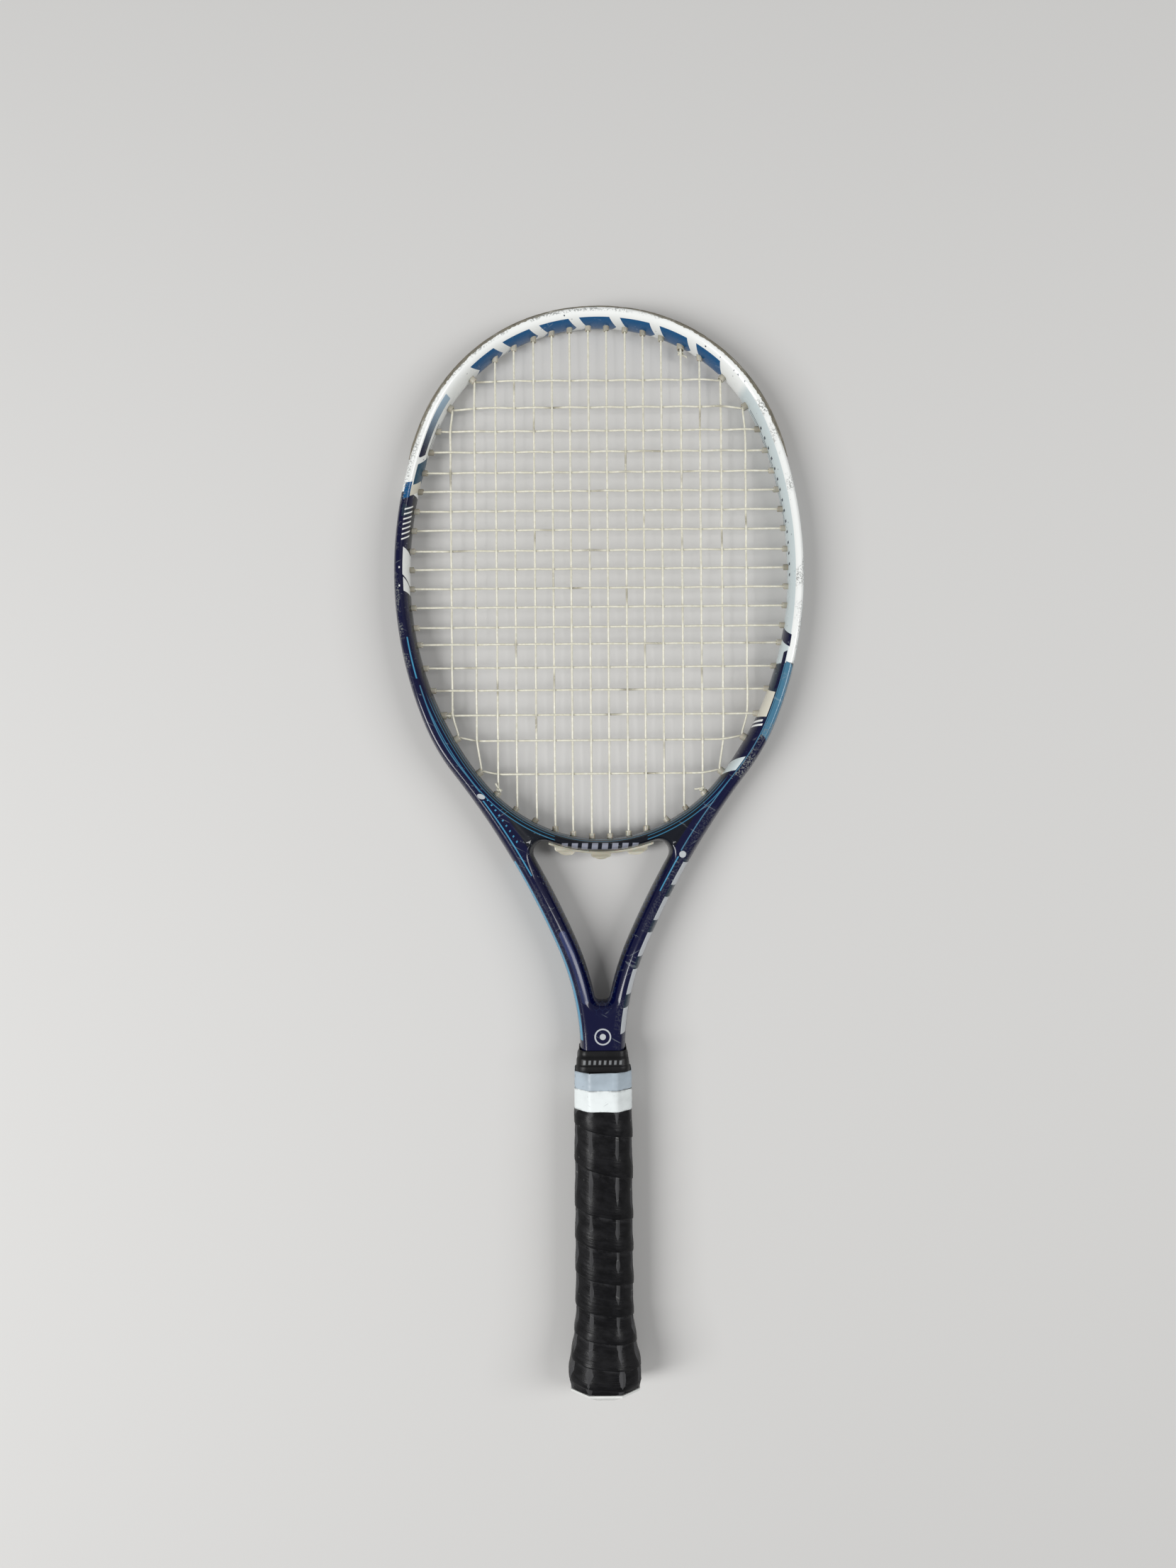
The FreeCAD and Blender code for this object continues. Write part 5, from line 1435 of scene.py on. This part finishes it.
def guard_nylon(name, face, barrel_tint, worn):
    """Nylon whose outer face is scuffed along its run, with paler barrels."""
    material, g, shader, _, wear = start_material(name)
    trace = g.trace()
    is_barrel = g.step(g.axes(trace)[0], BARREL_MARK - 100, BARREL_MARK - 99)
    streaks = g.noise(g.stretch(trace, (0.16, 1.0, 1.3)), 1.0, 5.0, 0.65)
    blotch = g.step(g.noise(g.stretch(trace, (0.09, 0.4, 0.4)), 1.0, 3.0), 0.42, 0.62)
    scuffed = g.maths("MULTIPLY", g.step(streaks, 0.5, 0.66), blotch)
    dark = tuple(0.45 * c for c in face[:3]) + (1.0,)
    colour = g.blend(g.step(streaks, 0.3, 0.6), dark, face)
    colour = g.blend(g.maths("MULTIPLY", scuffed, worn), colour, srgb(186, 184, 176))
    colour = g.blend(g.maths("MULTIPLY", wear["Scratches"], 0.6 * worn), colour, srgb(60, 58, 54))
    tint = g.blend(g.step(wear["Clouds"], 0.35, 0.7), barrel_tint, srgb(134, 129, 114))
    colour = g.blend(is_barrel, colour, tint)
    rough = g.maths("MULTIPLY_ADD", is_barrel, -0.28, g.step(streaks, 0.3, 0.7, 0.5, 0.72))
    dress(g, shader, g.maths("ADD", streaks, wear["Grain"]), 0.08 * worn + 0.01,
          Base_Color=colour, Roughness=rough, Subsurface_Weight=0.12, Subsurface_Scale=0.0015)
    return material


def clear_nylon():
    """Cloudy translucent nylon with a faint flow pattern."""
    material, g, shader, place, wear = start_material("guide_nylon")
    flow = g.noise(g.stretch(place, (60, 500, 500)), 1.0, 3.0)
    colour = g.blend(g.step(flow, 0.35, 0.65), srgb(150, 146, 130), srgb(182, 178, 164))
    colour = g.blend(g.maths("MULTIPLY", wear["Specks"], 0.5), colour, srgb(80, 76, 66))
    dress(g, shader, flow, 0.03, Base_Color=colour, Subsurface_Weight=0.25,
          Subsurface_Scale=0.002, Roughness=patchy(g, wear, 0.28, 0.42))
    return material


def string_gut(settings):
    """Cream string: fine twisted lines under a smooth coat, darkened where it has worn."""
    material, g, shader, place, _ = start_material("string_gut")
    trace = g.trace()
    length = g.stretch(trace, (1.0, 0.0, 0.0))
    stain = g.step(g.noise(length, 0.026, 2.0, 0.6), 0.57, 0.66)
    mottle = g.noise(place, 420.0, 4.0, 0.65)
    stain = g.maths("MULTIPLY", stain, g.step(mottle, 0.32, 0.5))
    fresh = g.blend(g.step(mottle, 0.3, 0.75), srgb(204, 201, 182), srgb(224, 222, 208))
    colour = g.blend(g.maths("MULTIPLY", stain, settings.stain), fresh, srgb(104, 96, 76))
    fibre = g.noise(g.stretch(place, (2600, 900, 2600)), 1.0, 2.0)
    colour = g.blend(g.step(fibre, 0.62, 0.72, 0.0, 0.25), colour, srgb(168, 160, 134))
    dress(g, shader, fibre, 0.02, Base_Color=colour, Coat_Weight=0.25, Coat_Roughness=0.2,
          Roughness=g.maths("MULTIPLY_ADD", stain, 0.2, 0.34))
    return material


def overgrip_film(settings):
    """Black film over felt: its skin has fine pores and creases, and is dusty beside the edges."""
    material, g, shader, place, wear = start_material("overgrip_film")
    trace = g.trace()
    phase = g.maths("FRACT", g.axes(trace)[0])
    pores = g.node("TexVoronoi", {"Vector": place, "Scale": 1400.0}).outputs["Distance"]
    creases = g.noise(g.stretch(trace, (5.0, 0.0, 2.2)), 1.0, 5.0, 0.62)
    folds = g.noise(g.stretch(trace, (16.0, 0.0, 1.1)), 1.0, 3.0)
    dust = g.maths("MULTIPLY", g.step(phase, 0.86, 0.995), g.step(creases, 0.42, 0.62))
    colour = g.blend(g.step(creases, 0.35, 0.7), srgb(5, 5, 7), srgb(13, 13, 16))
    colour = g.blend(g.maths("MULTIPLY", dust, 0.3), colour, srgb(60, 60, 62))
    colour = g.blend(g.maths("MULTIPLY", wear["Specks"], 0.35), colour, srgb(88, 88, 86))
    height = g.maths("MULTIPLY_ADD", folds, 2.2, g.maths("MULTIPLY", creases, 2.4))
    height = g.maths("MULTIPLY_ADD", pores, 0.22, height)
    dress(g, shader, height, 0.07, Base_Color=colour, Specular_IOR_Level=0.2,
          Roughness=g.step(creases, 0.3, 0.7, settings.gloss, settings.gloss + 0.16))
    return material


def tape_vinyl(name, tint, grime):
    """Satin tape: faint rings from its winding, creases and grime at the edges."""
    material, g, shader, place, wear = start_material(name)
    up = g.axes(g.trace())[1]
    rings = g.noise(g.stretch(place, (40, 900, 40)), 1.0, 2.0)
    shade = tuple(0.72 * c for c in tint[:3]) + (1.0,)
    colour = g.blend(g.step(wear["Clouds"], 0.3, 0.66), shade, tint)
    edge = g.maths("ABSOLUTE", g.maths("SUBTRACT", up, 0.5))
    dirt = g.maths("MULTIPLY", g.step(edge, 0.4, 0.5), g.step(g.noise(place, 260.0), 0.42, 0.6))
    colour = g.blend(g.maths("MULTIPLY", dirt, grime), colour, srgb(70, 72, 74))
    colour = g.blend(g.maths("MULTIPLY", wear["Scratches"], 0.3), colour, srgb(110, 114, 116))
    height = g.maths("MULTIPLY_ADD", rings, 0.5, g.noise(place, 160.0, 3.0))
    dress(g, shader, height, 0.12, Base_Color=colour,
          Roughness=patchy(g, wear, 0.36, 0.5))
    return material


def collar_skin():
    """Soft black rubber with a row of plain grey bars printed on its front and back."""
    material, g, shader, place, wear = start_material("collar_skin")
    x, y, z = g.axes(g.stretch(place, (1000, 1000, 1000)))
    colour = g.blend(g.step(wear["Clouds"], 0.35, 0.7), srgb(7, 7, 9), srgb(15, 15, 18))
    printed = paint_marks(g, colour, x, y, COLLAR_BARS)
    colour = g.blend(g.step(g.maths("ABSOLUTE", z), 13.4, 13.7), colour, printed)
    colour = g.blend(g.maths("MULTIPLY", wear["Specks"], 0.4), colour, srgb(96, 96, 94))
    dress(g, shader, wear["Grain"], 0.03, Base_Color=colour, Specular_IOR_Level=0.25,
          Roughness=patchy(g, wear, 0.36, 0.5))
    return material


def label_film():
    """A blank printed label, a little worn at its ends."""
    material, g, shader, _, wear = start_material("label_film")
    colour = g.blend(g.step(wear["Clouds"], 0.35, 0.7), srgb(12, 26, 70), srgb(20, 38, 92))
    colour = g.blend(g.maths("MULTIPLY", wear["Scratches"], 0.35), colour, SKY)
    dress(g, shader, wear["Grain"], 0.02, Base_Color=colour, Coat_Weight=0.3,
          Roughness=patchy(g, wear, 0.3, 0.42))
    return material


def moulded(name, dark, light, rough, metal=0.0, lines=0.0):
    """A moulded or drawn part: clouded colour, grain, scratches and specks."""
    material, g, shader, place, wear = start_material(name)
    drawn = g.noise(g.stretch(place, (900, 60, 900)), 1.0, 3.0)
    colour = g.blend(g.step(wear["Clouds"], 0.3, 0.7), dark, light)
    colour = g.blend(g.maths("MULTIPLY", drawn, lines), colour, dark)
    colour = g.blend(g.maths("MULTIPLY", wear["Scratches"], 0.35), colour, srgb(120, 120, 118))
    colour = g.blend(g.maths("MULTIPLY", wear["Specks"], 0.5), colour, srgb(60, 58, 54))
    height = g.maths("MULTIPLY_ADD", drawn, lines, wear["Grain"])
    dress(g, shader, height, 0.04, Base_Color=colour, Metallic=metal,
          Roughness=patchy(g, wear, rough - 0.07, rough + 0.08))
    return material


# ---- settings -------------------------------------------------------------------------------
class RacketSettings(bpy.types.PropertyGroup):
    """What can be changed about the racket's looks and its light."""

    coat: FloatProperty(
        name="Clear Coat", description="How much clear coat lies over the frame's paint",
        default=0.55, min=0, max=1, subtype="FACTOR")
    stain: FloatProperty(
        name="String Stain", description="How dark the worn lengths of string are",
        default=0.62, min=0, max=1, subtype="FACTOR")
    gloss: FloatProperty(
        name="Overgrip Roughness", description="Roughness of the overgrip's polished skin",
        default=0.3, min=0, max=1, subtype="FACTOR")
    floor_size: FloatProperty(
        name="Floor Size", description="Width of the floor under the racket",
        default=5.0, min=1, unit="LENGTH")
    floor_tint: FloatVectorProperty(
        name="Floor Colour", description="Colour of the pale floor",
        default=(0.57, 0.565, 0.555), size=3, min=0, max=1, subtype="COLOR")
    lamp_power: FloatProperty(
        name="Lamp Power", description="How strong the two soft lamps are",
        default=1.0, min=0, subtype="FACTOR")
    sky: FloatProperty(
        name="Room Light", description="Strength of the even light all round",
        default=0.32, min=0)


# ---- operators ------------------------------------------------------------------------------
def dress_node(name, material):
    """Gives a CAD node that stays shown its material."""
    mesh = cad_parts[name].data
    mesh.materials.clear()
    mesh.materials.append(material)


class RACKET_OT_frame(bpy.types.Operator):
    """Build the frame's moulding with its paint, its carbon tang and the blank label"""
    bl_idname = "racket.frame"
    bl_label = "Frame"

    def execute(self, context):
        settings = context.scene.racket
        shell, tang = make_frame_shell(tang_carbon())
        lay_paints(shell, frame_paints(settings))
        finish_piece(shell, RACKET, "frame_composite", "frame")
        finish_piece(tang, RACKET, "frame_composite")
        finish_piece(make_label(label_film()), RACKET, "label", "name_label")
        return {"FINISHED"}


class RACKET_OT_guards(bpy.types.Operator):
    """Build the bumper and the grommet strips with their barrels"""
    bl_idname = "racket.guards"
    bl_label = "Bumper and Grommets"

    def execute(self, context):
        barrels = srgb(182, 178, 164)
        bumper = make_bumper(guard_nylon("bumper_scuffed", TAUPE, barrels, 1.0))
        finish_piece(bumper, RACKET, "bumper_nylon", "bumper_guard")
        strips = make_side_strips(guard_nylon("strip_nylon", srgb(40, 43, 47), barrels, 0.25))
        for piece, side in zip(strips, ("right", "left")):
            finish_piece(piece, RACKET, "strip_nylon", "grommet_strip_" + side)
        dress_node("bridge_grommet_strip", clear_nylon())
        return {"FINISHED"}


class RACKET_OT_strings(bpy.types.Operator):
    """Weave the main and the cross string, with their four knots"""
    bl_idname = "racket.strings"
    bl_label = "Strings"

    def execute(self, context):
        pieces = make_strings(string_gut(context.scene.racket))
        for piece, node in zip(pieces, ("main_string", "cross_string")):
            finish_piece(piece, RACKET, "string", node)
        return {"FINISHED"}


class RACKET_OT_handle(bpy.types.Operator):
    """Give the handle's moulded core, butt cap, staples and base grip their materials"""
    bl_idname = "racket.handle"
    bl_label = "Handle Core"

    def execute(self, context):
        pallet = moulded("pallet_moulding", srgb(38, 38, 40), srgb(58, 58, 61), 0.55)
        cap = moulded("cap_white", srgb(204, 206, 203), srgb(228, 229, 226), 0.5)
        steel = moulded("bent_steel", srgb(150, 151, 153), srgb(205, 206, 208), 0.3, 1.0, 0.4)
        cushion = moulded("base_grip_cushion", srgb(34, 34, 36), srgb(56, 56, 58), 0.66)
        for names, material in ((("pallet_front", "pallet_back"), pallet),
                                (("butt_cap", "trap_door"), cap),
                                (("butt_cap_staples", "grip_staple"), steel),
                                (("base_grip",), cushion)):
            for name in names:
                dress_node(name, material)
        return {"FINISHED"}


class RACKET_OT_grip(bpy.types.Operator):
    """Wind the overgrip, close it with its two tapes and pull the collar over"""
    bl_idname = "racket.grip"
    bl_label = "Overgrip, Tapes and Collar"

    def execute(self, context):
        grip = make_overgrip(overgrip_film(context.scene.racket))
        finish_piece(grip, RACKET, "overgrip", "overgrip")
        white = tape_vinyl("white_vinyl", srgb(220, 226, 226), 0.5)
        blue = tape_vinyl("blue_vinyl", srgb(166, 179, 189), 0.4)
        low = tape_band("tape_lower", white, TAPE_FOOT_Y, TAPE_SPLIT_Y, *LOWER_TAPE)
        top = tape_band("tape_upper", blue, TAPE_SPLIT_Y, TAPE_TOP_Y, *UPPER_TAPE)
        finish_piece(low, RACKET, "white_tape", "overgrip_finishing_tape")
        finish_piece(top, RACKET, "blue_tape", "base_grip_finishing_tape")
        finish_piece(make_collar(collar_skin()), "collar", "collar_rubber", "grip_collar")
        return {"FINISHED"}


LYING = ((14.0, -21.3), (684.0, -12.6))
CAMERA = (-7.96, 385.5, 745.0)
CAMERA_ROLL = 0.00797
LENS = 27.03
LAMPS = (((-1250.0, 20.0, 1500.0), 31.0), ((1350.0, 420.0, 1500.0), 18.0))
LAMP_SIZE = (0.5, 1.3)
BACKDROP = 0.62


class RACKET_OT_stage(bpy.types.Operator):
    """Lay the racket on a pale floor under soft light, with the camera above"""
    bl_idname = "racket.stage"
    bl_label = "Floor, Light and Camera"

    def execute(self, context):
        settings = context.scene.racket
        make_floor(settings)
        make_light(context.scene, settings)
        make_camera(context.scene)
        return {"FINISHED"}


def make_floor(settings):
    """A plane that touches the butt's flare and the tip's underside."""
    (near, low), (far, high) = LYING
    slope = (high - low) / (far - near)
    half = settings.floor_size / 2 / MM
    corners = np.array([(-half, -half), (half, -half), (half, half), (-half, half)])
    height = low + (corners[:, 1] - near) * slope
    shape = Shape()
    shape.grid(np.concatenate([corners, height[:, None]], 1)[[0, 1, 3, 2]].reshape(2, 2, 3))
    material = bpy.data.materials.new("floor_pale")
    material.use_nodes = True
    shader = material.node_tree.nodes["Principled BSDF"]
    shader.inputs["Base Color"].default_value = (*settings.floor_tint, 1)
    shader.inputs["Roughness"].default_value = 0.8
    shader.inputs["Specular IOR Level"].default_value = 0.2
    shape.piece("floor", material=material)


def make_light(scene, settings):
    """Even light from all round, and a soft lamp on each side."""
    world = bpy.data.worlds.new("studio")
    world.use_nodes = True
    background = world.node_tree.nodes["Background"]
    background.inputs["Color"].default_value = (1, 1, 1, 1)
    seen = world.node_tree.nodes.new("ShaderNodeMath")
    seen.operation = "MULTIPLY_ADD"
    path = world.node_tree.nodes.new("ShaderNodeLightPath")
    world.node_tree.links.new(path.outputs["Is Camera Ray"], seen.inputs[0])
    seen.inputs[1].default_value = BACKDROP - settings.sky
    seen.inputs[2].default_value = settings.sky
    world.node_tree.links.new(seen.outputs[0], background.inputs["Strength"])
    scene.world = world
    for number, (place, watts) in enumerate(LAMPS):
        data = bpy.data.lights.new("lamp_" + str(number), "AREA")
        data.shape = "RECTANGLE"
        data.size, data.size_y = LAMP_SIZE
        data.energy = watts * settings.lamp_power
        lamp = bpy.data.objects.new(data.name, data)
        place = Vector(place) * MM
        facing = (place - Vector((0, 0.35, 0))).to_track_quat("Z", "Y")
        lamp.matrix_world = Matrix.Translation(place) @ facing.to_matrix().to_4x4()
        scene.collection.objects.link(lamp)
    scene.view_settings.view_transform = "Standard"


def make_camera(scene):
    """The camera looks straight down, its top edge a little turned."""
    data = bpy.data.cameras.new("camera")
    data.sensor_width = 36
    data.lens = LENS
    camera = bpy.data.objects.new("camera", data)
    turn = Matrix.Rotation(-math.atan(CAMERA_ROLL), 4, "Z")
    camera.matrix_world = Matrix.Translation(Vector(CAMERA) * MM) @ turn
    scene.collection.objects.link(camera)
    scene.camera = camera


class RACKET_PT_panel(bpy.types.Panel):
    """The racket's settings and the operators that build it"""
    bl_idname = "RACKET_PT_panel"
    bl_label = "Strung Racket"
    bl_space_type = "VIEW_3D"
    bl_region_type = "UI"
    bl_category = "Racket"

    def draw(self, context):
        for name in RacketSettings.__annotations__:
            self.layout.prop(context.scene.racket, name)
        for step in STEPS:
            self.layout.operator(step.bl_idname)


STEPS = (RACKET_OT_frame, RACKET_OT_guards, RACKET_OT_strings, RACKET_OT_handle,
         RACKET_OT_grip, RACKET_OT_stage)
CLASSES = (RacketSettings,) + STEPS + (RACKET_PT_panel,)


def register():
    for item in CLASSES:
        bpy.utils.register_class(item)
    bpy.types.Scene.racket = PointerProperty(type=RacketSettings)


def unregister():
    del bpy.types.Scene.racket
    for item in reversed(CLASSES):
        bpy.utils.unregister_class(item)


def main():
    register()
    for step in STEPS:
        getattr(bpy.ops.racket, step.bl_idname.split(".")[1])()
    bpy.context.view_layer.update()


if __name__ == "__main__":
    main()
